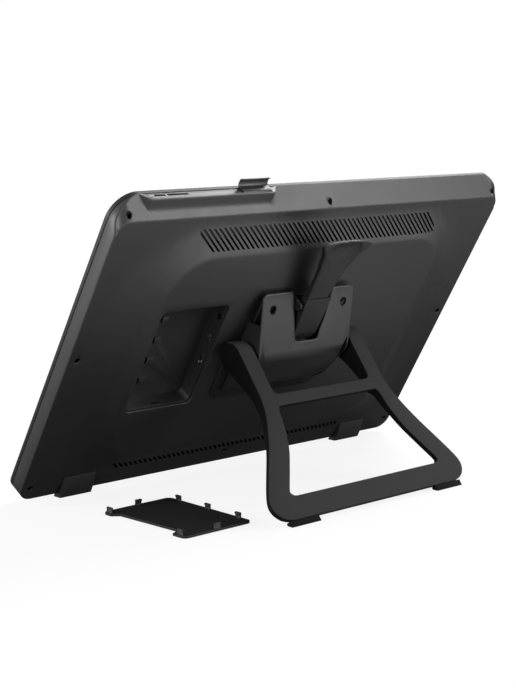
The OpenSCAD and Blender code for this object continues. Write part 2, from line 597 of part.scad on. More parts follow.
// hood outline as a list of y, z points, set in by t
function hood_line(t) = concat([[ear_y - 1.09 * t, ear_z]], arc(nose_y, nose_z, nose_r - t, 24, -20, 8),
  [[axis_y + 2 - 0.94 * t, axis_z - 38 + 0.4 * t], [back + 9 - 0.8 * t, axis_z - 50 + 0.6 * t],
   [back, axis_z - 58.2 + 1.3 * t]]);
module hinge_hood() color([0.17, 0.17, 0.18]) lean() difference() {
  intersection() {
   slab(hood_w, -body_h, ear_z, 6, 0, back + reach);
   union() {
    along_x(hood_w) difference() {
      polygon(concat(hood_line(0), [[back, ear_z]]));
      polygon(concat([[ear_y - 1.09 * hood_wall, ear_z + 5]], hood_line(hood_wall),
        [[back - 5, axis_z - 50], [back - 5, ear_z + 5]]));
    }
    // end walls round the pivot
    both() translate([hood_w / 2 - hood_wall / 2, 0, 0]) along_x(hood_wall) intersection() {
      polygon(concat(hood_line(0), [[back, ear_z]]));
      translate([back, axis_z - 60]) square([60, 92]);
    }
    // screw bosses behind the ears
    intersection() {
      both() rod_y(ear_x, ear_hole_z, 6.2, ear_y0, back + 16);
      along_x(hood_w) polygon(concat(hood_line(0.4), [[back, ear_z]]));
    }
   }
  }
  // the base plate's foot
  box(-base_l, base_l, 0, base_y, 0, axis_z - base_r);
  // opening between the ears for the lever
  translate([0, back + reach, 0]) rotate([90, 0, 0]) linear_extrude(reach)
    polygon(concat(notch, notch_far));
  both() {
    // room for the base plate's post under each ear
    rod_y(ear_x, ear_hole_z, 4.8, back - 1, ear_y0);
    rod_y(ear_x, ear_hole_z, 2.2, back, back + 20);
    rod_y(ear_x, ear_hole_z, 4.2, ear_y0 + 1.6, back + 20);
    rod_x(axis_y, axis_z, shaft_r + 1.5, hood_w / 2 - 8, hood_w / 2 + 1);
  }
}
module hood_screws() color([0.1, 0.1, 0.11]) lean() both() difference() {
  union() {
    rod_y(ear_x, ear_hole_z, 3.7, ear_y0 + 1.6, ear_y0 + 3.8);
    rod_y(ear_x, ear_hole_z, 2, back + 1.5, ear_y0 + 2);
  }
  for (a = [0, 90]) translate([ear_x, ear_y0 + 3.8, ear_hole_z]) rotate([0, a, 0])
    cube([4.4, 2, 0.9], center = true);
}

// half outline of the frame: x against height below the pivot
half_out = [[stand_w / 2, knuckle_r + 1], [stand_w / 2, -0.29 * leg_l], [stand_w / 2 + 2.2, -0.37 * leg_l],
  [stand_w / 2 + 7.5, -0.455 * leg_l], [base_w / 2 - 30, -0.585 * leg_l], [base_w / 2 - 17, -0.71 * leg_l],
  [base_w / 2 - 5, -0.83 * leg_l], [base_w / 2 - 0.6, -0.89 * leg_l], [base_w / 2 - 1.6, -0.935 * leg_l],
  [base_w / 2 - 7, -0.972 * leg_l], [base_w / 2 - 14, -0.992 * leg_l], [base_w / 2 - 22, -leg_l]];
half_in = [[stand_w / 2 - leg_w + 2.6, -0.362 * leg_l], [stand_w / 2 - leg_w + 6.3, -0.48 * leg_l],
  [base_w / 2 - 54, -0.61 * leg_l], [base_w / 2 - 44.5, -0.71 * leg_l], [base_w / 2 - 32, -0.83 * leg_l],
  [base_w / 2 - 31, -0.853 * leg_l], [base_w / 2 - 34, -0.868 * leg_l], [base_w / 2 - 38, -0.872 * leg_l]];
function flip(l) = [for (i = [len(l) - 1:-1:0]) [-l[i][0], l[i][1]]];
module stand_plan() difference() {
  polygon(concat(half_out, flip(half_out)));
  polygon(concat(half_in, flip(half_in)));
  // open top between the legs, down to the cross bar
  translate([-stand_w / 2 + leg_w, -0.29 * leg_l]) square([stand_w - 2 * leg_w, leg_l]);
}
module stand_frame() color([0.2, 0.2, 0.21]) at_axis() difference() {
  intersection() {
    translate([0, 2 * knuckle_r, 0]) rotate([90, 0, 0]) linear_extrude(4 * knuckle_r) stand_plan();
    union() {
      along_x(2 * base_w) polygon([[knuckle_r, 0], [-knuckle_r, 0], [-knuckle_r + 0.6, -0.022 * leg_l],
        [-3.2, -0.18 * leg_l], [4.8, -0.38 * leg_l], [leg_back, -0.6 * leg_l], [leg_back, -leg_l],
        [knuckle_r, -leg_l]]);
      rod_x(0, 0, knuckle_r, -base_w, base_w);
    }
  }
  rod_x(0, 0, shaft_r + fit, -stand_w / 2 + 3.5, stand_w / 2 - 3.5);
  // the cross bar and base bar stay thin
  translate([-stand_w / 2 + leg_w, -2 * knuckle_r, -0.8 * leg_l])
    cube([stand_w - 2 * leg_w, 2 * knuckle_r + leg_back, 0.8 * leg_l + 2 * knuckle_r]);
}
module stand_feet() color([0.05, 0.05, 0.05]) intersection() {
  at_axis() both() translate([base_w / 2 - 52, leg_back, -leg_l - 12]) cube([38, plate_t - 0.6, 12]);
  translate([-body_w, -body_w, 0]) cube(2 * body_w);
}

// plan of the lever: x against z, an arm that spreads into a fan-shaped pad
lever_arm = [[lev_w / 2 - 1, lev_z - tail_l], [lev_w / 2, lev_z - tail_z], [lev_w / 2, lev_z + neck_l],
  [flare_x, lev_z + flare_l], [0.28 * pad_w, pad_z - 25], [0.325 * pad_w, pad_z - 14],
  [0.37 * pad_w, pad_z - 5], [0.42 * pad_w, pad_z + 1], [0.475 * pad_w, pad_z + 5],
  [0.5 * pad_w, pad_z + 8.5], [0.485 * pad_w, pad_z + 10.5], [0.4 * pad_w, pad_z + 12.8],
  [0.2 * pad_w, pad_z + 14.9], [0.07 * pad_w, pad_z + 15.4]];
module release_lever() color([0.15, 0.15, 0.16]) lean() difference() {
  union() {
    intersection() {
      translate([0, back + reach, 0]) rotate([90, 0, 0]) linear_extrude(reach)
        polygon(concat(lever_arm, flip(lever_arm)));
      // side outline: tail, pivot, arm, finger pad
      along_x(2 * pad_w) polygon([[lev_y + 8.5, lev_z - 34.5], [lev_y + 5.8, lev_z + 11],
        [pad_y - 5, pad_z - 18], [pad_y - 2.8, pad_z - 5], [pad_y + 0.4, pad_z + 9],
        [pad_y + 0.6, pad_z + 16], [pad_y - 2.2, pad_z + 16], [pad_y - 6.2, pad_z + 3],
        [pad_y - 9.6, pad_z - 14], [lev_y + 1.5, lev_z + 20], [lev_y - 2, lev_z + 12],
        [lev_y - 4.4, lev_z + 4],
        [lev_y - 4.4, lev_z - 4], [lev_y + 0.6, lev_z - 24], [axis_y - 4, axis_z + 12.6],
        [axis_y + 3.3, axis_z + 12.6]]);
    }
    // a thin wing covers the wider side of the opening
    intersection() {
      translate([0, back + reach, 0]) rotate([90, 0, 0]) linear_extrude(reach)
        polygon([[1 - lev_w / 2, lev_z - 33], [-lev_w / 2 - wing_w / 2, lev_z - 33],
          [-lev_w / 2 - wing_w, lev_z + neck_l], [1 - lev_w / 2, lev_z + neck_l]]);
      along_x(2 * pad_w) polygon([[lev_y + 8.5, lev_z - 34.5], [lev_y + 5.8, lev_z + 11],
        [lev_y + 4.4, lev_z + 11], [lev_y + 6.3, lev_z - 34.5]]);
    }
  }
  // the wing clears the lug on that side
  rod_x(lev_y, lev_z, 5.4, -2 * lev_w, -lev_w / 2);
  rod_x(lev_y, lev_z, lev_r + run, -lev_w, lev_w);
  // room for the spring on the pin
  rod_x(lev_y, lev_z, 4.9, -6, 6);
  // finger dish
  translate([0, pad_y + 26, pad_z - 2]) {
    for (x = [-10, 10]) translate([x, 0, 0]) sphere(r = 30);
    rod_x(0, 0, 30, -10, 10);
  }
  // seam across the arm
  along_x(2 * lev_w) translate([lev_y + 5.8, lev_z + 11]) square([2, 1.2], center = true);
  // the shoe's seat
  rod_x(axis_y, axis_z, drum_r + 4, -9, 9);
}
module lever_pin() color([0.7, 0.7, 0.72]) lean() rod_x(lev_y, lev_z, lev_r, -lug_x - lug_t - 0.3,
  lug_x + lug_t + 0.3);
module lock_shoe() color([0.35, 0.2, 0.12]) lean() intersection() {
  difference() {
    rod_x(axis_y, axis_z, drum_r + 4, -8, 8);
    rod_x(axis_y, axis_z, drum_r + shoe_gap, -10, 10);
  }
  along_x(20) polygon(concat([[axis_y, axis_z]], arc(axis_y, axis_z, 20, 70, 96, 1)));
}
module lever_spring() color([0.6, 0.6, 0.62]) lean()
  translate([-5.6, lev_y, lev_z]) coil(lev_r + fit, 0.9, 11.2, 8);

rear_cover();
front_frame();
cover_glass();
lcd_panel();
light_guide();
backlight_tray();
digitizer_board();
shield_plate();
main_board();
board_standoffs();
board_screws();
scaler_chip();
heatsink();
port_tub();
hdmi_port();
usb_port();
dc_jack();
panel_ribbon();
button_board();
tact_switches();
power_button();
menu_rocker();
rocker_pin();
status_led();
case_screws();
body_feet();
pen_clip();
pen_clip_pin();
port_cover();
hinge_base();
base_screws();
hinge_bushes();
hinge_shaft();
shaft_washers();
lock_drum();
torsion_springs();
hinge_hood();
hood_screws();
stand_frame();
stand_feet();
release_lever();
lever_pin();
lock_shoe();
lever_spring();
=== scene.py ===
# %% [markdown]
# A graphics tablet with a screen, seen from behind: a leaning display, a folding stand with its
# hinge hood and release lever, an open port bay and the bay's loose cover on the desk.
# The CAD frame gives every place and every joint. This script adds what a mould or a paint line
# adds: softened edges, smooth blends, fine texture, and light to see them by.

# %% load the frame
import json
import math

import bmesh
import bpy
from mathutils import Matrix, Vector
from mathutils.geometry import delaunay_2d_cdt


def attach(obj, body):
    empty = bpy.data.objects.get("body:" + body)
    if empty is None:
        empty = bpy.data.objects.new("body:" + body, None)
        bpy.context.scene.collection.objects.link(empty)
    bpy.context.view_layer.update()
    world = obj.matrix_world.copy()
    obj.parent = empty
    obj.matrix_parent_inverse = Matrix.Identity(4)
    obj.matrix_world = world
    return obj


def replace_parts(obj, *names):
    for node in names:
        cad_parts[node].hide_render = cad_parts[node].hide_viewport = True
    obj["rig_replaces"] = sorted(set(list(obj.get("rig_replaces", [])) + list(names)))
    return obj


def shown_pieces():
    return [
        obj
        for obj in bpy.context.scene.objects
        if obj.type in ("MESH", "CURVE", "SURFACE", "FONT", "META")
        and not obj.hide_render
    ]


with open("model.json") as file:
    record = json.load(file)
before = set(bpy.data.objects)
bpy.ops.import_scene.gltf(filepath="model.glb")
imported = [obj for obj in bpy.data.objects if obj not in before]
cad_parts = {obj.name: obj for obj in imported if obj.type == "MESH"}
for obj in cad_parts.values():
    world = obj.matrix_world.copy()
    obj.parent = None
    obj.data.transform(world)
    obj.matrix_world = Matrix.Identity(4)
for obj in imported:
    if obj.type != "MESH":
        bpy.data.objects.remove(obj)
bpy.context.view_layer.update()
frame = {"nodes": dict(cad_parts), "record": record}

# %% [markdown]
# The display is easiest to describe lying square: x across, y as depth behind the glass, z up the
# glass, all in millimetres. One matrix then leans it back on the desk. The stand has its own square
# view, centred on the hinge shaft, so it gets a second matrix. Drawing straight into the leaning frame
# would work too, but then no number could be compared with a ruler on the real piece.

# %% two square views
GLASS_LEAN, GLASS_FOOT = 59.4, (0, -126.726, 14.481)
SHAFT, STAND_OPEN = (0, 48.5, 173.2), 67.813
shrink = Matrix.Scale(0.001, 4)
display_view = (shrink @ Matrix.Translation(GLASS_FOOT)
                @ Matrix.Rotation(math.radians(GLASS_LEAN - 90), 4, "X"))
stand_view = (display_view @ Matrix.Translation(SHAFT)
              @ Matrix.Rotation(math.radians(STAND_OPEN), 4, "X"))
print("shaft at", [round(v, 4) for v in stand_view @ Vector()])

# %% [markdown]
# Nearly every visible piece here is a moulded plate: an outline, perhaps with holes, a height for its
# outer face, another for its inner face, and a small radius along each rim. The next cells make that
# once, in code and not with modifiers, because the rim then keeps its radius on any outline. First the
# outlines: smooth curves through a few points, rounded boxes and circles.


# %% outlines
def curve(points, steps=6, closed=True):
    """A smooth line through the points."""
    n, out = len(points), []
    for i in range(n if closed else n - 1):
        near = [k % n if closed else min(max(k, 0), n - 1) for k in (i - 1, i, i + 1, i + 2)]
        pick = [points[k] for k in near]
        for s in range(steps):
            t = s / steps
            w = (-t + 2 * t * t - t ** 3, 2 - 5 * t * t + 3 * t ** 3,
                 t + 4 * t * t - 3 * t ** 3, t ** 3 - t * t)
            out.append(tuple(sum(w[k] * pick[k][a] for k in range(4)) / 2 for a in (0, 1)))
    return out if closed else out + [points[-1]]


def split(points, longest):
    """The same closed line with no side longer than this."""
    out = []
    for (ax, az), (bx, bz) in zip(points, points[1:] + points[:1]):
        n = max(1, math.ceil(math.hypot(bx - ax, bz - az) / longest))
        out += [(ax + (bx - ax) * i / n, az + (bz - az) * i / n) for i in range(n)]
    return out


def arc(x, z, r, a0, a1, n):
    angles = [math.radians(a0 + (a1 - a0) * i / n) for i in range(n + 1)]
    return [(x + r * math.cos(a), z + r * math.sin(a)) for a in angles]


def soft_box(x0, x1, z0, z1, low_r, top_r, n=8):
    """A box drawn anticlockwise, with one radius for its lower corners and one for the upper."""
    turns = ((x0 + low_r, z0 + low_r, low_r, 180), (x1 - low_r, z0 + low_r, low_r, 270),
             (x1 - top_r, z1 - top_r, top_r, 0), (x0 + top_r, z1 - top_r, top_r, 90))
    return [p for x, z, r, start in turns for p in arc(x, z, r, start, start + 90, n)]


def circle(x, z, r, n=24):
    return arc(x, z, r, 0, 360, n)[:-1]


print("sides of a soft box", len(soft_box(0, 10, 0, 10, 1, 2)))

# %% [markdown]
# A flat outline with holes has to be filled with triangles before it can bulge. A plain face fill takes
# no extra points inside, so a Delaunay filling is used: it keeps the outlines as edges, takes the extra
# points that a curved face needs, and keeps the triangles even.


# %% filling an outline
def inside(p, loop):
    hit = False
    for (ax, az), (bx, bz) in zip(loop, loop[1:] + loop[:1]):
        if (az > p[1]) != (bz > p[1]) and p[0] < ax + (p[1] - az) / (bz - az) * (bx - ax):
            hit = not hit
    return hit


def fill(loops, points=(), creases=()):
    """Triangles between the first loop and the holes: corners, faces, and each loop's corner numbers."""
    flat = [p for loop in loops for p in loop]
    edges, rings, n = [], [], 0
    for loop in loops:
        ring = list(range(n, n + len(loop)))
        edges += list(zip(ring, ring[1:] + ring[:1]))
        rings.append(ring)
        n += len(loop)
    for line in creases:
        edges += [(n + i, n + i + 1) for i in range(len(line) - 1)]
        flat += line
        n += len(line)
    flat += list(points)
    corners, _, faces, origin, _, _ = delaunay_2d_cdt([Vector(p) for p in flat], edges, [], 1, 1e-5)
    new = {old: i for i, olds in enumerate(origin) for old in olds}
    boxes = [(min(p[0] for p in h), max(p[0] for p in h), min(p[1] for p in h), max(p[1] for p in h), h)
             for h in loops[1:]]
    kept = []
    for f in faces:
        c = sum((corners[i] for i in f), Vector((0, 0))) / len(f)
        holes = [h for x0, x1, z0, z1, h in boxes if x0 < c.x < x1 and z0 < c.y < z1]
        if inside(c, loops[0]) and not any(inside(c, h) for h in holes):
            kept.append(f)
    return [tuple(c) for c in corners], kept, [[new[i] for i in ring] for ring in rings]


print("triangles round a hole", len(fill([soft_box(0, 10, 0, 10, 1, 1), circle(5, 5, 2)[::-1]])[1]))

# %% [markdown]
# The plate itself. Its outline is pulled in by the rim radius and filled. The outer and the inner face
# share those triangles, and each outline gets a rounded rim, a wall and a second rim between the two
# faces, so the plate is closed. A bevel modifier would do the rim on a box, but not beside narrow vents.


# %% plate
def outward(loop, i):
    """Unit vector out of the material at one corner of a loop whose material is on its left."""
    (ax, az), (bx, bz), (cx, cz) = loop[i - 1], loop[i], loop[(i + 1) % len(loop)]
    ux, uz, vx, vz = bx - ax, bz - az, cx - bx, cz - bz
    lu, lv = math.hypot(ux, uz) or 1, math.hypot(vx, vz) or 1
    nx, nz = uz / lu + vz / lv, -ux / lu - vx / lv
    size = math.hypot(nx, nz) or 1
    return nx / size, nz / size


def plate(outer, inner, loops, lips, points=(), creases=(), open_wall=None):
    """Corners as (x, height, z) and faces of a closed plate. Each loop has a rim radius in lips."""
    pulled = []
    for loop, lip in zip(loops, lips):
        ring = []
        for i, (x, z) in enumerate(loop):
            e = min(lip, max(0.0, 0.45 * (outer(x, z) - inner(x, z))))
            nx, nz = outward(loop, i)
            ring.append((x - nx * e, z - nz * e, nx, nz, e))
        pulled.append(ring)
    flat, faces, rings = fill([[p[:2] for p in ring] for ring in pulled], points, creases)
    n = len(flat)
    corners = [(x, outer(x, z), z) for x, z in flat] + [(x, inner(x, z), z) for x, z in flat]
    sides = [tuple(f) for f in faces] + [tuple(i + n for i in reversed(f)) for f in faces]
    gaps = []
    for ring, index in zip(pulled, rings):
        rows = [list(index)]
        for turn in (30, 60, 90):
            s, c = math.sin(math.radians(turn)), math.cos(math.radians(turn))
            rows.append([len(corners) + i for i in range(len(ring))])
            corners += [(x + nx * e * s, corners[i][1] - e * (1 - c), z + nz * e * s)
                        for (x, z, nx, nz, e), i in zip(ring, index)]
        for turn in (90, 45):
            s, c = math.sin(math.radians(turn)), math.cos(math.radians(turn))
            rows.append([len(corners) + i for i in range(len(ring))])
            corners += [(x + nx * e * s, corners[i + n][1] + e * (1 - c), z + nz * e * s)
                        for (x, z, nx, nz, e), i in zip(ring, index)]
        rows.append([i + n for i in index])
        for k, (row, nxt) in enumerate(zip(rows, rows[1:])):
            for i in range(len(ring)):
                j = (i + 1) % len(ring)
                quad = (row[i], nxt[i], nxt[j], row[j])
                if k == 3 and open_wall and open_wall(corners[row[i]], corners[row[j]]):
                    gaps.append(quad)
                else:
                    sides.append(quad)
    return corners, sides, gaps


print("plate maker ready")

# %% [markdown]
# A finished plate becomes an object: doubled corners are joined, slivers go, and faces shade smoothly
# except across real corners. It then rides on its body and stands for the CAD node of the same piece,
# so a pose moves both alike.

# %% from plate to object
DOUBLED, SLIVER = 2e-6, 1e-6
slot_of = {s["node"]: s["material_slot"] for s in frame["record"]["subparts"]}


def body_of(node):
    return next(b for b, names in frame["record"]["behaviour"]["bodies"].items() if node in names)


def finish_mesh(name, work, nodes, sharp=32):
    bmesh.ops.remove_doubles(work, verts=work.verts, dist=DOUBLED)
    bmesh.ops.dissolve_degenerate(work, edges=work.edges, dist=SLIVER)
    bmesh.ops.delete(work, geom=[v for v in work.verts if not v.link_faces], context="VERTS")
    bmesh.ops.recalc_face_normals(work, faces=work.faces)
    mesh = bpy.data.meshes.new(name)
    work.to_mesh(mesh)
    work.free()
    mesh.shade_smooth()
    mesh.set_sharp_from_angle(angle=math.radians(sharp))
    piece = bpy.data.objects.new(name, mesh)
    bpy.context.collection.objects.link(piece)
    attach(piece, body_of(nodes[0]))
    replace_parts(piece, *nodes)
    print(name, len(mesh.polygons), "faces")
    return piece


def moulded(name, view, parts, *nodes, sharp=32):
    """One object from several (corners, faces) in a square view. Corners are (x, depth, z)."""
    work = bmesh.new()
    for corners, sides in parts:
        made = [work.verts.new(view @ Vector(c)) for c in corners]
        for side in sides:
            ring = [made[i] for i in side]
            if len(set(side)) == len(side) and not work.faces.get(ring):
                work.faces.new(ring)
    return finish_mesh(name, work, nodes, sharp)


print(len(slot_of), "slots in the record")

# %% [markdown]
# The rear cover is one large moulding. Its back is a height over the glass: a flat rim, a raised
# middle with a crisp crest and a soft concave foot at the sides, a chamfer along the top edge that
# also rounds the upper corners, and a narrow ledge for buttons standing on that chamfer. Boxes joined
# by booleans would leave hard seams; in one formula each face runs into the next with its own radius.

# %% height of the back
WIDE, TALL, LOW_R, TOP_R = 520.0, 342.0, 15, 26
FRAME_T, RIM, BACK = 4.0, 20.0, 32.5
CHAMFER, SLANT, CORNER = 18.5, 24.46, 13.0
CREST, CREST_RUN = (183, 44, 284.7, 44), 28
FOOT, FOOT_RUN, FOOT_H = (200, 56, 272.7, 50), 46, 5
LEDGE, LEDGE_H, LEDGE_END, LEDGE_FROM = (78.0, 227.0), 14.0, 8.0, 322


def soft_max(a, b, k):
    h = max(k - abs(a - b), 0) / k
    return max(a, b) + h * h * k / 4


def soft_min(a, b, k):
    return -soft_max(-a, -b, k)


def beyond(x, z, half_w, z0, z1, r):
    """Distance outside a rounded box that is centred on x = 0."""
    qx, qz = abs(x) - half_w + r, abs(z - (z0 + z1) / 2) - (z1 - z0) / 2 + r
    return math.hypot(max(qx, 0), max(qz, 0)) + min(max(qx, qz), 0) - r


def chamfer(x, z):
    over = max(abs(x) - (WIDE / 2 - CORNER), 0)
    drop = math.sqrt(max(CORNER ** 2 - over * over, 0)) - CORNER
    return FRAME_T + (SLANT * drop - (RIM - FRAME_T) * (z - TALL)) / CHAMFER


def back_height(x, z):
    slope = (BACK - RIM) * (1 - beyond(x, z, *CREST) / CREST_RUN)
    skirt = FOOT_H - 6 * beyond(x, z, *FOOT) / FOOT_RUN
    raised = soft_max(soft_min(slope, BACK - RIM, 0.9), min(skirt, FOOT_H), 2.5)
    y = soft_min(RIM + soft_max(raised, 0, 1.2), chamfer(x, z), 0.9)
    from_end = min(x - LEDGE[0] + LEDGE_END, LEDGE[1] + LEDGE_END - x)
    rise = FRAME_T + (LEDGE_H - FRAME_T) * from_end / LEDGE_END
    if z > LEDGE_FROM and rise > FRAME_T:
        y = max(y, min(soft_max(y, LEDGE_H, 2.0), rise))
    return max(y, FRAME_T)


print("middle", back_height(0, 160), "rim", back_height(250, 160), "ledge", back_height(150, 340))

# %% [markdown]
# The inside follows the back at the wall's thickness, except along the edge, where the cover comes down
# to the front frame. The lower and the upper corners have different radii, so the distance to the edge
# is taken from two tall boxes that each have one of them.

# %% inside of the back
WALL, EDGE_WALL = 2.5, 1.6


def beyond_low(x, z):
    return beyond(x, z, WIDE / 2, 0, 2 * TALL, LOW_R)


def beyond_top(x, z):
    return beyond(x, z, WIDE / 2, -TALL, TALL, TOP_R)


def inner_height(x, z):
    edge = -max(beyond_low(x, z), beyond_top(x, z))
    return FRAME_T if edge < EDGE_WALL else max(FRAME_T, back_height(x, z) - WALL)


print("hollow under the middle", inner_height(0, 160))

# %% [markdown]
# The openings follow the real ones: rows of slanted vents on the upper and lower slopes, eight screw
# holes near the edge, and the mouth of the port bay with a step for its cover. They are cut as holes in
# the outline, so their rims are rounded with the rest.

# %% openings in the back
BAY, BAY_STEP = (98.0, 178.0, 108.0, 225.0), 1.5
SCREWS = [(250, 15), (-250, 15), (0, 15), (250, 171), (-250, 171), (248, 328), (-248, 328), (0, 328.4)]
SCREW_HOLE = 2.8
VENT_ROWS, VENT_ENDS = ((290.2, 310.5), (22.5, 33.5)), (161.5, -163.5)
VENT_W, VENT_STEP, VENT_FROM = 2.1, 6.25, 148


def trim(loop, limit, keep):
    """The part of a loop on one side of an upright line."""
    out = []
    for (ax, az), (bx, bz) in zip(loop, loop[1:] + loop[:1]):
        if keep * (ax - limit) <= 0:
            out.append((ax, az))
        if (ax - limit) * (bx - limit) < 0:
            out.append((limit, az + (limit - ax) / (bx - ax) * (bz - az)))
    return out


def vent_row(z0, z1):
    row, half = [], VENT_W / 2 * math.sqrt(2)
    for i in range(-1, 50):
        x = VENT_FROM - i * VENT_STEP
        a, b = x + (z0 - z1) / 2, x + (z1 - z0) / 2
        slot = [(a - half, z0), (b - half, z1), (b + half, z1), (a + half, z0)]
        row.append(trim(trim(slot, VENT_ENDS[0], 1), VENT_ENDS[1], -1))
    return row


vents = [slot for row in VENT_ROWS for slot in vent_row(*row)]
bay_mouth = soft_box(BAY[0] - BAY_STEP, BAY[1] + BAY_STEP, BAY[2] - BAY_STEP, BAY[3] + BAY_STEP, 6, 6, 5)
holes = vents + [bay_mouth[::-1]] + [circle(x, z, SCREW_HOLE)[::-1] for x, z in SCREWS]
hole_lips = [0.12] * len(vents) + [0.7] + [0.4] * len(SCREWS)
print(len(holes), "openings")

# %% [markdown]
# The cover's rim is a rounded box. Along its top edge the ledge starts, reaches its height and ends
# again, and the line needs a corner at each of those marks, or the ledge's ends would come out ragged.

# %% rim of the back
marks = [LEDGE[0] - LEDGE_END, LEDGE[0], LEDGE[1], LEDGE[1] + LEDGE_END]
rim_line = split(soft_box(-WIDE / 2, WIDE / 2, 0, TALL, LOW_R, TOP_R, 10), 8)


def on_top(p):
    return p[1] > TALL - 0.01


rim_line = [p for p in rim_line if not (on_top(p) and any(abs(p[0] - m) < 2 for m in marks))]
top_from = next(i for i, p in enumerate(rim_line) if on_top(p))
top_line = sorted([p for p in rim_line if on_top(p)] + [(m, TALL) for m in marks], reverse=True)
rim_line = ([p for p in rim_line[:top_from] if not on_top(p)] + top_line
            + [p for p in rim_line[top_from:] if not on_top(p)])
print("rim of", len(rim_line), "corners")

# %% [markdown]
# Triangles are only as smooth as their corners, so extra points follow the crest, the foot and the
# chamfer line closely and lie wide apart on the flats. The upper corners, where the chamfer bends round
# into the side, get columns of their own. An even fine grid would do as well, with many times the faces.


# %% extra points
def contour(half_w, z0, z1, r, d, step=6):
    return split(soft_box(-half_w - d, half_w + d, z0 - d, z1 + d, r + d, r + d, 10), step)


points = [(x * 9 + 4.5, z * 9 + 0.5) for x in range(-29, 29) for z in range(1, 38)]
for d in (-4, -1.6, -0.6, 0.2, 1.0, 2.2, 5, 10, 16, 22, 26, 27.4, 28.6, 30, 33):
    points += contour(*CREST, d)
for d in (-9, -5, -2, 2, 6, 12, 20, 28, 34, 38, 42):
    points += [p for p in contour(*FOOT, d) if abs(p[0]) > 150]
straight, fall = WIDE / 2 - CORNER, SLANT / (RIM - FRAME_T) * CORNER
for d in (-4, -2, -0.9, 0, 0.9, 2, 4, 7.5, 11, 14.5):
    for i in range(-90, 91):
        over = min(max(abs(i) - 78, 0) / 12, 1) * math.pi / 2
        x = math.copysign(straight * min(abs(i) / 78, 1) + CORNER * math.sin(over), i)
        points.append((x, TALL - CHAMFER + d - fall * (1 - math.cos(over))))
columns = [s * (straight + e) for s in (1, -1) for e in (1.5, 3, 4.5, 6, 7.5, 8.8, 9.8, 10.6, 11.2)]
points += [(x, 292 + 2.2 * i) for x in columns for i in range(22)]
for z in (327.5, 328.4, 329.2, 329.8, 330.4, 331, 331.8, 333, 336, 339.5):
    points += [(LEDGE[0] + 4.0 * i, z) for i in range(1, 37)]
print(len(points), "points over the back")

# %% [markdown]
# A point too near to an outline would pull thin triangles, so those go. The bars between the vents get a
# few points of their own, and the ledge's ends get edges that the filling has to keep.


# %% points that stay
def clear(p):
    """Whether a point keeps away from the edge, the vents, the bay, the ledge's ends and the screws."""
    x, z = p
    if abs(x) > WIDE / 2 - 2 or z < 2 or z > TALL - 1.2:
        return False
    if beyond_low(x, z) > -2 or beyond_top(x, z) > -1.5:
        return False
    if abs(x) < 172 and (286 < z < 314.5 or 19 < z < 37):
        return False
    if BAY[0] - 4 < x < BAY[1] + 4 and BAY[2] - 4 < z < BAY[3] + 4:
        return False
    if z > 329 and (marks[0] - 1 < x < marks[1] + 1 or marks[2] - 1 < x < marks[3] + 1):
        return False
    return all(math.hypot(x - sx, z - sz) > 4.2 for sx, sz in SCREWS)


points = [p for p in points if clear(p)]
for i in range(-2, 50):
    for z0, z1 in VENT_ROWS:
        middle = (z0 + z1) / 2
        points += [(VENT_FROM - (i + 0.5) * VENT_STEP + (z - middle), z)
                   for z in (z0 - 1.8, z0, middle, z1, z1 + 1.8)]
ledge_foot = TALL - CHAMFER * (LEDGE_H - FRAME_T) / (RIM - FRAME_T)
ledge_ends = [[(x + s * (LEDGE_END - 0.9), TALL - 1.4), (x, ledge_foot), (x, TALL - 1.4)]
              for x, s in ((LEDGE[0], -1), (LEDGE[1], 1))]
print(len(points), "extra points")

# %% [markdown]
# The top of the ledge is left open by the plate and filled here, with slots for the two buttons, a small
# bore for the status light and a trough for the pen clip's barrel. Each has walls, so a pressed button
# sinks into a shaft, and the trough has a floor. A height over the glass can't have such openings in its
# upright end, so the ledge's top is a filled outline of its own.

# %% the rear cover
BUTTONS, BUTTON_SLOT = ((214, 12), (193, 24)), (6.75, 9.65)
LIGHT, TROUGH, DEEP = (224, 8.2, 0.85), (80.6, 117.4, 6.3, 12.9), 4.9


def on_ledge(a, b):
    return all(c[2] > TALL - 0.02 and marks[0] - 0.1 < c[0] < marks[3] + 0.1 for c in (a, b))


corners, sides, gaps = plate(back_height, inner_height, [rim_line] + holes, [1.3] + hole_lips,
                             points, ledge_ends, on_ledge)
upper = [corners[q[0]] for q in gaps] + [corners[gaps[-1][3]]]
lower = [corners[q[1]] for q in gaps] + [corners[gaps[-1][2]]]
cap = [(c[0], c[1]) for c in upper] + [(c[0], c[1]) for c in reversed(lower)]
cap = [p for i, p in enumerate(cap) if math.hypot(p[0] - cap[i - 1][0], p[1] - cap[i - 1][1]) > 1e-4]
cuts = [soft_box(x - long / 2 - 0.35, x + long / 2 + 0.35, *BUTTON_SLOT, 0.5, 0.5, 3) for x, long in BUTTONS]
cuts += [circle(*LIGHT, 16), soft_box(*TROUGH, 0.4, 0.4, 3)]
flat, faces, rings = fill([cap] + [cut[::-1] for cut in cuts])
n = len(flat)
lid = [(x, y, TALL) for x, y in flat] + [(x, y, TALL - DEEP) for x, y in flat]
walls = [(r[i - 1], r[i], r[i] + n, r[i - 1] + n) for r in rings[1:] for i in range(len(r))]
walls.append(tuple(i + n for i in rings[-1]))
moulded("rear_cover_moulding", display_view, [(corners, sides), (lid, list(faces) + walls)],
        "rear_cover", sharp=28)

# %% [markdown]
# The cover's seat is a thin step round the mouth of the bay. It could be part of the large plate, but a
# step under an edge would need a second height there, so a simple closed ring carries it.

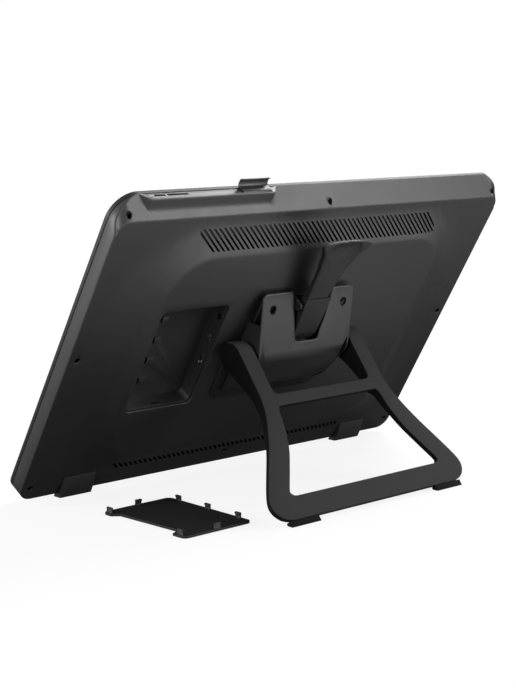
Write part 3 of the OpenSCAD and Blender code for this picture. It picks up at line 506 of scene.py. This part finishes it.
# %% seat of the bay cover
SEAT_TOP, SEAT_LOW = 30.2, 29.6
seat_in = soft_box(*BAY, 6, 6, 5)
seat_out = soft_box(BAY[0] - 2, BAY[1] + 2, BAY[2] - 2, BAY[3] + 2, 6.5, 6.5, 5)
ring = plate(lambda x, z: SEAT_TOP, lambda x, z: SEAT_LOW, [seat_out, seat_in[::-1]], [0, 0.2])
moulded("bay_seat", display_view, [ring[:2]], "rear_cover")

# %% [markdown]
# The stand is a pressed and welded frame: two legs that thin out from round knuckles, a cross bar, and
# a wide base bar. Its outline is drawn as half a path and mirrored, so both legs are sure to match. Only
# the knuckles are as thick as the shaft's bosses; the bars are six millimetre plate.


# %% stand outline
def mirrored(half):
    """A closed line from its right half, drawn from the lower middle up to the upper middle."""
    return half + [(-x, z) for x, z in reversed(half) if x > 0.01]


outer_leg = curve([(112, -178.7), (120, -177.3), (127, -173.7), (132.2, -167.1), (133.2, -159),
                   (129, -148.3), (117, -126.9), (104, -104.5), (93, -81.3), (87.7, -66.1),
                   (85.5, -51.8)], 5, closed=False)
inner_leg = curve([(96, -155.8), (100, -155.1), (103, -152.4), (102, -148.3), (89.5, -126.9),
                   (80, -109), (72.8, -85.8), (70.2, -69)], 5, closed=False)
frame_line = split(mirrored([(0, -178.7)] + outer_leg + [(85.5, 14.9), (66.5, 14.9)]
                            + [(66.5, -45.8)] + arc(60.5, -45.8, 6, 0, -90, 5)[1:]), 7)
window = split(mirrored([(0, -155.8)] + inner_leg + arc(65.6, -68.2, 3.5, 10, 90, 4)), 7)[::-1]
print("stand outline", len(frame_line), "window", len(window))

# %% [markdown]
# The front of each leg follows a side profile, from the knuckle's round front to the thin lower leg.
# Between the legs the profile steps back to the thickness of the bars. A loft would give the same, but
# two heights over one outline use the plate maker that is already there.

# %% stand thickness
KNUCKLE, BAR_FRONT, LEG_IN = 15.0, 9.0, 66.45
profile = curve([(0, -15), (4, -14.3), (32.2, -3.2), (67.9, 4.8), (107.2, 8.9), (140, 9)], 8, closed=False)


def along(line, t):
    """Height of a line of (distance, height) points at one distance."""
    for (a, ya), (b, yb) in zip(line, line[1:]):
        if t <= b:
            return ya + (yb - ya) * max(0.0, (t - a) / (b - a))
    return line[-1][1]


def knuckle(z):
    return math.sqrt(max(KNUCKLE ** 2 - z * z, 0))


def leg_back(x, z):
    return KNUCKLE if z <= 0 else knuckle(z)


def leg_front(x, z):
    if abs(x) < LEG_IN and z > -143:
        return BAR_FRONT
    return along(profile, -z) if z <= 0 else -knuckle(z)


steps = [[(s * x, -53), (s * x, -58), (s * x, -63.2)] for s in (1, -1) for x in (66.4, 66.5)]
grid = [(s * x, z) for s in (1, -1) for x in (69.5, 73, 76, 79, 82.5)
        for z in (14.3, 13.2, 11.5, 9, 6, 3, 0, -3, -6, -10, -16, -22, -28, -34, -40, -46, -52, -58)]
bar = [(5.0 * i, z) for i in range(-12, 13) for z in (-54.5, -58, -61.5, -160, -167, -174)]
stand = moulded("stand_casting", stand_view,
                [plate(leg_back, leg_front, [frame_line, window], [1.1, 1.1], grid + bar, steps)[:2]],
                "stand_frame")

# %% [markdown]
# The hood over the hinge is a bent moulding with two ears, one screw through each. Seen from the side it
# falls from the ears to a round nose over the shaft, then back to the display. The ear beside the lever
# rolls down along the opening. A side profile gives all of that as a height, so it is a plate as well.

# %% heights of the hood
EAR_TOP, NOSE = 238.5, (46.5, 177.0, 17.0)
HOOD_T, HOOD_SEAT, ROLL, ROLL_FROM = 3.2, 35.05, 3.6, 188
hood_side = [(EAR_TOP, 38.0), (224, 44.37), (205, 52.71), (190, 59.3)]
for turn in range(24, -21, -4):
    a = math.radians(turn)
    hood_side.append((NOSE[1] + NOSE[2] * math.sin(a), NOSE[0] + NOSE[2] * math.cos(a)))
hood_side += [(150, 55.5), (138, 51.4), (133, 49.3), (125, 43.0), (117.2, 35.1)]
hood_side = [(-z, y) for z, y in hood_side]


def near_edge(z):
    """The opening's edge along the rolled ear."""
    return 14.0 + 6.6 * (z - 190.7) / 47.8


def hood_outer(x, z):
    y, e = along(hood_side, -z), x - near_edge(z)
    roll = min(max(ROLL - e, 0), ROLL - 0.2) if x > 0 and z > ROLL_FROM else 0
    return y - (ROLL - math.sqrt(ROLL ** 2 - roll * roll)) * min(1, max(0, (z - ROLL_FROM) / 8))


def hood_inner(x, z):
    if abs(x) > 59.7 and z < 205:
        return HOOD_SEAT if z < 161.3 else 32.6
    return max(hood_outer(x, z) - HOOD_T, HOOD_SEAT)


print("nose stands", round(hood_outer(0, NOSE[1]), 1), "mm behind the glass")

# %% [markdown]
# The hood's outline has an opening between the ears where the release lever comes out, wider on one side
# than on the other. Rows of points follow the bend, the rolled ear and the screw holes.

# %% hinge hood
EAR_X, EAR_Z, EAR_HOLE = 48.7, 223.5, 4.2
outer_side = [(60.7, 117.3)] + arc(60.7, 119.3, 2, -80, 0, 3) + arc(56.7, EAR_TOP - 6, 6, 0, 90, 6)
opening = [(22.0, EAR_TOP), (20.9, 238.1), (20.3, 237.0), (14.4, 193.4), (13.2, 191.4), (11.0, 190.7),
           (-14.0, 190.7), (-16.2, 191.4), (-17.8, 193.4), (-32.3, 236.8), (-33.0, 238.1), (-34.2, EAR_TOP)]
hood_line = split(outer_side + opening + [(-x, z) for x, z in reversed(outer_side)], 6)
ear_holes = [circle(s * EAR_X, EAR_Z, EAR_HOLE)[::-1] for s in (1, -1)]
rows = [(x * 6.0, -z) for x in range(-10, 11) for z, y in hood_side[4:-1]]
rows = [p for p in rows if inside(p, hood_line) and (p[0] < -26 or p[0] > 26 or p[1] < 189)]
rows += [(near_edge(z) + e, z) for z in range(196, 237, 5) for e in (1.7, 2.3, 3.0, 3.7, 4.6)]
rows += [(s * EAR_X + r * math.cos(a / 2), EAR_Z + r * math.sin(a / 2))
         for s in (1, -1) for r in (6.0, 8.6) for a in range(12)]
walls_in = [[(s * x, z) for z in (119, 140, 161, 190, 203)] for s in (1, -1) for x in (59.6, 59.8)]
moulded("hinge_hood_moulding", display_view,
        [plate(hood_outer, hood_inner, [hood_line] + ear_holes, [1.2, 0.4, 0.4], rows, walls_in)[:2]],
        "hinge_hood")

# %% [markdown]
# The release lever is a slim arm that spreads into a fan-shaped finger pad with a scooped dish. A seam
# crosses the arm where its inner half clips in, and the arm is hollow over the pin. It is a plate again:
# the outer height is a side profile, with the seam sunk into it and a ball pressed in for the dish.

# %% heights of the lever
SEAM, SEAM_HALF, SEAM_DEEP = 237.0, 0.55, 1.0
DISH_HALF, DISH_R, BALL = 10, 30, (85.0, 294)
ARM_HALF, WING_T, PIN_TOP = 14.05, 1.2, 50.45
arm_top = curve([(185, 51.0), (190, 52.3), (195, 53.2), (237, 50.8), (262, 52.5), (278, 54.0),
                 (291, 56.2), (300, 58.4), (305, 59.35), (312, 59.6)], 5, closed=False)
arm_low = [(185, 44.5), (202, 45.6), (220.5, 41), (221, 49.6), (231, 49.6), (231.5, 42), (238, 43),
           (246, 46.6), (282, 49.5), (299, 52.9), (312, 56.9)]


def lever_outer(x, z):
    y = along(arm_top, z)
    if abs(z - SEAM) < SEAM_HALF:
        y -= SEAM_DEEP
    dx, dz = max(abs(x) - DISH_HALF, 0), z - BALL[1]
    return min(y, BALL[0] - math.sqrt(max(DISH_R ** 2 - dx * dx - dz * dz, 1)))


def lever_inner(x, z):
    y = along(arm_low, z)
    if x > -ARM_HALF:
        return y
    return max(y, lever_outer(x, z) - WING_T, PIN_TOP if 219 < z < 233 else 0)


print("dish sinks", round(along(arm_top, BALL[1]) - lever_outer(0, BALL[1]), 2), "mm")

# %% [markdown]
# Seen from behind, the arm widens into the pad in one sweep. On one side a thin wing covers the rest of
# the hood's opening, so the outline steps out there. Creases mark the seam and the hollow over the pin,
# and rings of points follow the edge of the dish, so that it stays crisp.

# %% release lever
DISH_MID = 298.8
lever_line = mirrored([(0, 187.8), (13, 187.8), (14, 191), (14, 234)] + curve(
    [(14, 238), (15.5, 246.5), (18.2, 271), (21.1, 282), (24, 291), (27.3, 297), (30.9, 301), (32.4, 304.4),
     (31.4, 306.5), (26, 308.8), (13, 310.9), (0, 311.4)], 5, closed=False))
at = lever_line.index((-14, 234))
lever_line[at:at + 1] = [(-14, 236.1), (-20.2, 235.9), (-18.6, 212), (-16.9, 193.2), (-14, 193.0)]
lever_line = split(lever_line, 4)
wing = [[(x, z) for z in (196, 202, 211, 219.9, 221, 231, 232.1, 233.5)] for x in (-14.0, -14.1)]
seam = [[(-12.6, z), (12.6, z)] for z in (236.4, 236.5, 237.5, 237.6)]
over_pin = [[(-12.4, z), (12.4, z)] for z in (220.5, 221, 231, 231.5)]
dish_edge = []
for d in (-4, -1.6, -0.5, 0.3, 1.2):
    for k in range(48):
        a, middle = math.radians(7.5 * k), DISH_HALF if k < 12 or k > 36 else -DISH_HALF
        dish_edge.append((middle + (10.6 + d) * math.cos(a), DISH_MID + (10.9 + d) * math.sin(a)))
dish = [(2.5 * i, DISH_MID + 1.7 * k) for i in range(-7, 8) for k in range(-4, 5)]
arm = [(4.5 * i, 240 + 5 * k) for i in range(-3, 4) for k in range(9)]
spots = [p for p in dish_edge + dish + arm
         if inside((p[0] * 1.09, p[1] + (p[1] - 296) * 0.12), lever_line)]
moulded("lever_moulding", display_view,
        [plate(lever_outer, lever_inner, [lever_line], [1.1], spots, seam + over_pin + wing)[:2]],
        "release_lever", sharp=30)

# %% [markdown]
# The pen clip is a short length of one extruded profile: a barrel for its pin, a floor and a tall wall
# with a hooked top. Its plate lies across the display, so its view swaps two axes. A bevelled curve could
# draw it as well, but the plate has its rounded ends already.

# %% pen clip
CLIP_PIN, CLIP_RIGHT, CLIP_LEFT = (9.6, 340.4), 117.0, 81.0
clip_view = display_view @ Matrix(((0, 1, 0, 0), (1, 0, 0, 0), (0, 0, 1, 0), (0, 0, 0, 1)))
hook = [(0.9, 1.2), (0.9, 2.5), (-0.6, 3.1), (-3, 3.1), (-5.5, 3.4), (-6.9, 5.4), (-6.95, 8.9), (-5.6, 10.4),
        (-6.3, 11.2), (-8.1, 9.6), (-8.3, 4.7), (-6.6, 2.1), (-3, 1.95), (-1, 1.8)]
hook = [(CLIP_PIN[0] + y, CLIP_PIN[1] + z) for y, z in curve(hook, 3)]
barrel = [circle(*CLIP_PIN, 2.8), circle(*CLIP_PIN, 0.86)[::-1]]


def clip_length(loops, lips):
    return plate(lambda y, z: CLIP_RIGHT, lambda y, z: CLIP_LEFT, loops, lips)[:2]


moulded("pen_clip_moulding", clip_view,
        [clip_length([hook], [0.3]), clip_length(barrel, [0.3, 0])], "pen_clip")

# %% [markdown]
# The flat and boxy pieces keep their CAD shape and only lose their sharp edges: a copy is cleaned of its
# triangles, every real corner is rounded by a fraction of a millimetre, and the copy stands for the node.
# Light only catches an edge that has some width, and on these pieces a plain bevel gives it.


# %% eased copies
def eased(node, radius, steps=2, angle=30):
    work = bmesh.new()
    work.from_mesh(frame["nodes"][node].data)
    bmesh.ops.remove_doubles(work, verts=work.verts, dist=1e-6)
    bmesh.ops.dissolve_limit(work, angle_limit=math.radians(1), verts=work.verts, edges=work.edges)
    edges = [e for e in work.edges if len(e.link_faces) == 2 and e.calc_face_angle(0) > math.radians(angle)]
    bmesh.ops.bevel(work, geom=edges, offset=radius / 1000, segments=steps, profile=0.5, affect="EDGES",
                    clamp_overlap=True)
    return finish_mesh(node + "_eased", work, [node], sharp=40)


edge_radius = {"port_cover": 0.3, "body_feet": 1.2, "stand_feet": 0.5, "front_frame": 0.5, "hinge_base": 0.4,
               "port_tub": 0.3, "power_button": 0.25, "menu_rocker": 0.25, "heatsink": 0.15}
for node, radius in edge_radius.items():
    eased(node, radius)

# %% [markdown]
# Shader maths reads best as plain sums. One small class wraps a socket, so that sockets and numbers add
# and multiply, and one method makes any other node from its type, settings and inputs.


# %% shader sums
class Sum:
    def __init__(self, tree, socket):
        self.tree, self.socket = tree, socket

    def node(self, kind, settings=None, out=0, **inputs):
        made = self.tree.nodes.new("ShaderNode" + kind)
        for key, value in (settings or {}).items():
            setattr(made, key, value)
        for key, value in inputs.items():
            slot = made.inputs[int(key[1:]) if key[0] == "i" and key[1:].isdigit() else key.replace("_", " ")]
            if isinstance(value, Sum):
                self.tree.links.new(value.socket, slot)
            else:
                slot.default_value = value
        return Sum(self.tree, made.outputs[out])

    def math(self, kind, a, b):
        return self.node("Math", {"operation": kind}, i0=a, i1=b)

    def __add__(self, b):
        return self.math("ADD", self, b)

    def __sub__(self, b):
        return self.math("SUBTRACT", self, b)

    def __rsub__(self, b):
        return self.math("SUBTRACT", b, self)

    def __mul__(self, b):
        return self.math("MULTIPLY", self, b)

    def __gt__(self, b):
        return self.math("GREATER_THAN", self, b)

    def __lt__(self, b):
        return self.math("LESS_THAN", self, b)

    __radd__, __rmul__ = __add__, __mul__

    def blend(self, dark, light):
        """A colour between two, by this value."""
        return self.node("Mix", {"data_type": "RGBA"}, 2, Factor=self, i6=(*dark, 1), i7=(*light, 1))

    def noise(self, scale, detail=2.0):
        """Noise over this place, between 0 and 1."""
        return self.node("TexNoise", None, 0, Vector=self, Scale=scale, Detail=detail)


def shader(name):
    """A new material: its surface node and the place on the object, in metres."""
    made = bpy.data.materials.new(name)
    made.use_nodes = True
    tree = made.node_tree
    surface = tree.nodes["Principled BSDF"]
    place = Sum(tree, tree.nodes.new("ShaderNodeTexCoord").outputs["Object"])
    return made, surface, place


def plug(surface, name, value):
    if isinstance(value, Sum):
        value.tree.links.new(value.socket, surface.inputs[name])
    else:
        surface.inputs[name].default_value = value


print("shader sums ready")

# %% [markdown]
# Most finishes here differ only in a few numbers. A moulded plastic has a fine eroded grain pressed in by
# the mould, slightly uneven gloss, and a faint mottle in its colour. Paint is finer, bare metal is drawn
# in one direction, rubber is coarse and dull. One recipe of two noises serves all of them; a picture of
# each surface would need a flat map of every piece.


# %% one recipe
def finish(name, colour, rough, grain=900.0, depth=0.02, mottle=0.08, metal=0.0, shine=0.5,
           stretch=None, coat=0.0):
    made, surface, place = shader(name)
    if stretch:
        place = place.node("Mapping", None, 0, Vector=place, Scale=stretch)
    fine, broad = place.noise(grain, 3.0), place.noise(35.0, 4.0)
    dark, light = [[c * (1 + s * mottle) for c in colour] for s in (-1, 1)]
    plug(surface, "Base Color", (broad * 0.7 + fine * 0.3).blend(dark, light))
    plug(surface, "Roughness", broad * 0.10 + fine * 0.08 + (rough - 0.09))
    plug(surface, "Metallic", metal)
    plug(surface, "Specular IOR Level", shine)
    plug(surface, "Coat Weight", coat)
    plug(surface, "Normal", fine.node("Bump", None, 0, Strength=0.6, Distance=depth / 1000, Height=fine))
    return made


print("recipe ready")

# %% [markdown]
# The finishes: one for each material slot of the record, and a few more for pieces that differ from
# their neighbours. Most plastics are close to one charcoal, and mainly their gloss sets them apart.


# %% the finishes
def grey(v, blue=1.02):
    return (v, v, v * blue)


skins = {
    "shell": finish("shell_plastic", grey(0.017), 0.42, 1100, 0.02, shine=0.5),
    "hood": finish("hood_plastic", grey(0.017), 0.42, 1100, 0.02, shine=0.4),
    "cover": finish("cover_plastic", grey(0.016), 0.45, 1000, 0.03, shine=0.2),
    "lever": finish("lever_plastic", grey(0.017), 0.38, 1300, 0.015, shine=0.24),
    "stand": finish("stand_paint", grey(0.044), 0.62, 1500, 0.02, 0.05, shine=0.06),
    "frame": finish("frame_plastic", grey(0.016), 0.45, 1300, 0.02, shine=0.25),
    "button": finish("button_plastic", grey(0.006), 0.6, 1300, 0.01, shine=0.05),
    "bracket": finish("bracket_paint", grey(0.016), 0.5, 1500, 0.02, shine=0.2),
    # painted shade: a near-black copy of the stand paint for the stand's side faces
    "edge": finish("stand_edge_painted_shade", grey(0.006), 0.6, 1500, 0.02, 0.05, shine=0.06),
    # painted shade: a darker copy of the foot rubber, so the stand's pads read as shaded
    "pad": finish("pad_rubber_painted_shade", grey(0.006), 0.8, 700, 0.05, 0.15, shine=0.1),
    "clip": finish("clip_plastic", grey(0.014), 0.4, 1300, 0.015, shine=0.45),
    "rubber": finish("foot_rubber", grey(0.026), 0.75, 700, 0.05, 0.15, shine=0.2),
    "chip": finish("chip_epoxy", grey(0.02), 0.4, 1500, 0.01),
    "jack": finish("jack_plastic", grey(0.012), 0.35, 1500, 0.01),
    "shoe": finish("shoe_lining", (0.020, 0.018, 0.017), 0.85, 600, 0.08, 0.25, shine=0.2),
    "dark_screw": finish("black_oxide", grey(0.02), 0.42, 1800, 0.01, 0.1, 0.6),
    "sheet_metal": finish("zinc_sheet", grey(0.16), 0.5, 600, 0.01, 0.12, 1.0, stretch=(1, 8, 8)),
    "steel": finish("bright_steel", grey(0.55), 0.3, 900, 0.01, 0.06, 1.0, stretch=(1, 10, 10)),
    "port_shell": finish("nickel", grey(0.6), 0.25, 900, 0.005, 0.05, 1.0),
    "drum": finish("ground_iron", grey(0.3), 0.4, 900, 0.01, 0.1, 1.0, stretch=(10, 1, 1)),
    "brass": finish("turned_brass", (0.62, 0.44, 0.18), 0.32, 900, 0.01, 0.08, 1.0, stretch=(1, 9, 9)),
    "heatsink": finish("black_anodised", grey(0.05), 0.4, 900, 0.01, 0.08, 0.7),
    "board": finish("solder_mask", (0.012, 0.09, 0.045), 0.35, 500, 0.02, 0.2, coat=0.4),
    "ribbon": finish("flex_film", (0.6, 0.52, 0.36), 0.4, 800, 0.01, 0.06),
    "diffuser": finish("acrylic_sheet", (0.75, 0.78, 0.8), 0.2, 800, 0.005, 0.03),
    "light_pipe": finish("smoked_light_pipe", (0.06, 0.062, 0.07), 0.25, 900, 0.005, 0.05),
    "panel": finish("polariser", (0.012, 0.014, 0.02), 0.18, 900, 0.002, 0.1, coat=0.3),
    "cover_glass": finish("etched_glass", (0.010, 0.011, 0.014), 0.22, 2500, 0.003, 0.1, coat=0.5),
}
print(len(skins), "finishes")

# %% [markdown]
# The glass is lightly etched, so that the pen drags on it as on paper. Black ink on its inner face frames
# the panel, and the panel, with its light off, looks a little greyer than the ink. The border is a share
# of the glass's own box, so no map has to be drawn for it.

# %% screen glass
SIDE_INK, END_INK = 0.034, 0.098
glass = skins["cover_glass"].node_tree
share = Sum(glass, glass.nodes.new("ShaderNodeTexCoord").outputs["Generated"])
across, up = (share.node("SeparateXYZ", None, k, Vector=share) for k in (0, 2))
on_panel = (across > SIDE_INK) * (across < 1 - SIDE_INK) * (up > END_INK) * (up < 1 - END_INK)
ink = 1 - on_panel
plug(glass.nodes["Principled BSDF"], "Base Color", ink.blend(grey(0.030, 1.1), grey(0.003)))
print("ink border round the panel")

# %% [markdown]
# Each piece takes the finish of its material slot in the record; the stand's pads, the pen clip and the
# lever's pin have a finish of their own. CAD nodes that are shown as they are get it in their slots, and
# their shape stays untouched. The stand's side faces, where its thickness shows, get a near-black copy of
# its paint as painted shade, and only the faces of the plate keep the charcoal paint. The two kinds of
# face are told apart by their direction to the plate.

# %% dress every piece
# the stand's pads take the painted-shade copy of the rubber
finish_of = dict(slot_of, stand_feet="pad", pen_clip="clip", lever_pin="dark_screw")


def dress(piece, node):
    piece.data.materials.clear()
    piece.data.materials.append(skins[finish_of[node]])


for node, piece in frame["nodes"].items():
    dress(piece, node)
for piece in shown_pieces():
    if "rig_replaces" in piece:
        dress(piece, list(piece["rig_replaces"])[0])
# painted shade: faces that run across the plate get the near-black copy of the stand paint
flat_way = (stand_view.to_3x3() @ Vector((0, 1, 0))).normalized()
stand.data.materials.append(skins["edge"])
for face in stand.data.polygons:
    face.material_index = int(abs(face.normal.dot(flat_way)) < 0.5)

# %% [markdown]
# A studio table: white paper that fades into a white surround. The camera sees both as white, and most of
# that white is given by the paper itself, so the lamps leave only a light shadow under the object. Dark,
# smooth plastic shows mostly what it mirrors. Mirror-like faces see the paper lit by the lamps, with a
# painted tone laid over it: painted light behind the object, a painted glow further back, and painted
# shade under and before it. For light that bounces, it stays dim. A plain white sheet under strong
# lamps would be simpler, but it lifts every dark face to grey.

# %% floor
FLOOR_HALF, FLOOR_Z, DIM = 3, -0.0004, 0.03


def rays(tree):
    """Two values: 1 for rays from the camera, and 1 for rays by way of a glossy or clear face."""
    path = tree.nodes.new("ShaderNodeLightPath").outputs
    kinds = ("Camera", "Glossy", "Transmission")
    camera, glossy, clear_ray = (Sum(tree, path["Is %s Ray" % kind]) for kind in kinds)
    return camera, camera.math("MAXIMUM", glossy, clear_ray)


plane = bpy.data.meshes.new("floor")
square = ((-1, -1), (1, -1), (1, 1), (-1, 1))
plane.from_pydata([(x * FLOOR_HALF, y * FLOOR_HALF, FLOOR_Z) for x, y in square], [], [(0, 1, 2, 3)])
floor = bpy.data.objects.new("floor", plane)
bpy.context.collection.objects.link(floor)
made, surface, place = shader("floor_paper")
tree = place.tree
camera, mirror = rays(tree)
ramp = {"interpolation_type": "SMOOTHSTEP"}
side, depth = (place.node("SeparateXYZ", None, k, Vector=place) for k in (0, 1))
# painted light and shade: for mirror rays the paper's colour is set by place, dark under and before the
# object and lit behind it
painted_light_and_shade = place.node("MapRange", ramp, 0, Value=depth, From_Min=0.0, From_Max=0.1, To_Min=0.12, To_Max=0.8)
painted_light_and_shade = painted_light_and_shade * place.node("MapRange", ramp, 0, Value=side, From_Min=-0.5, From_Max=-0.1, To_Min=0.4)
# painted glow: further behind the object the paper shines for mirror rays only
painted_glow_behind = place.node("MapRange", ramp, 0, Value=depth, From_Min=0.25, From_Max=0.6, To_Max=1.2)
plug(surface, "Base Color", camera * (place.noise(9.0) * 0.02 + 0.16) + mirror * painted_light_and_shade + DIM)
plug(surface, "Emission Color", camera * 0.84 + mirror * (painted_glow_behind + painted_light_and_shade * 0.12))
plug(surface, "Emission Strength", 1.0)
plug(surface, "Roughness", 0.9)
plug(surface, "Specular IOR Level", 0.0)
away = place.node("VectorMath", {"operation": "LENGTH"}, 1, i0=place)
fade = place.node("MapRange", ramp, 0, Value=away, From_Min=0.45, From_Max=1.0)
paper = place.node("MixShader", None, 0, Fac=camera * fade, i1=Sum(tree, surface.outputs[0]),
                   i2=place.node("BsdfTransparent"))
tree.links.new(paper.socket, tree.nodes["Material Output"].inputs["Surface"])
plane.materials.append(made)
print("paper of", 2 * FLOOR_HALF, "metres")

# %% [markdown]
# The surround is white for the camera too. For mirror rays it is a painted reflection: white on the
# camera's side and dark beyond the object, and that draws the slow change of tone across the back. A sky
# picture could do it, but one direction and one ramp are enough.

# %% surround
REFLECTION_WHITE_WAY = (0.914, 0.406, 0.0)
world = bpy.data.worlds.new("studio")
bpy.context.scene.world = world
world.use_nodes = True
tree = world.node_tree
camera, mirror = rays(tree)
toward = Sum(tree, tree.nodes.new("ShaderNodeTexCoord").outputs["Generated"])
toward = toward.node("VectorMath", {"operation": "DOT_PRODUCT"}, 1, i0=toward, i1=REFLECTION_WHITE_WAY)
# painted reflection: mirror rays see the surround dark away from the camera's side
painted_reflection_side = toward.node("MapRange", ramp, 0, Value=toward, From_Min=-0.6, From_Max=-0.1, To_Min=0.02)
sky = camera + mirror * painted_reflection_side + DIM
tree.links.new(sky.socket, tree.nodes["Background"].inputs["Color"])
print("white surround")

# %% [markdown]
# Four soft lamps at a plain level. The strongest hangs high beyond the display and lights the chamfer and
# every face that looks up. One stands on the camera's right and fills the back and the stand. Two smaller
# ones on the left light the side wall. One lamp would be simpler, but it leaves that wall as dark as the
# back.

# %% lamps
AIM = (0, 0.05, 0.2)


def lamp(name, place, size, power):
    light = bpy.data.objects.new(name, bpy.data.lights.new(name, "AREA"))
    light.data.shape, light.data.size, light.data.energy = "DISK", size, power
    light.location = place
    light.rotation_euler = (Vector(AIM) - Vector(place)).to_track_quat("-Z", "Y").to_euler()
    bpy.context.collection.objects.link(light)


lamp("key", (-1.08, -0.28, 1.33), 1.0, 23)
lamp("back", (-0.8, 1.25, 0.5), 1.0, 17)
lamp("left", (1.35, -0.75, 0.45), 0.8, 14)
lamp("side", (1.5, 0.45, 0.45), 0.6, 10)
bpy.context.scene.view_settings.view_transform = "Standard"
print("four lamps")

# %% [markdown]
# The camera was worked out from the straight edges of the display in the photograph: a long lens, a little
# above the desk, looking at the back from its left.

# %% camera
eye = bpy.data.objects.new("eye", bpy.data.cameras.new("eye"))
bpy.context.collection.objects.link(eye)
eye.location = (1.12225, 1.1566, 0.3971)
eye.rotation_euler = Vector((-0.6731, -0.7230, -0.1558)).to_track_quat("-Z", "Y").to_euler()
eye.data.lens, eye.data.sensor_width = 84.66, 36
bpy.context.scene.camera = eye
print("camera at", tuple(round(v, 3) for v in eye.location))
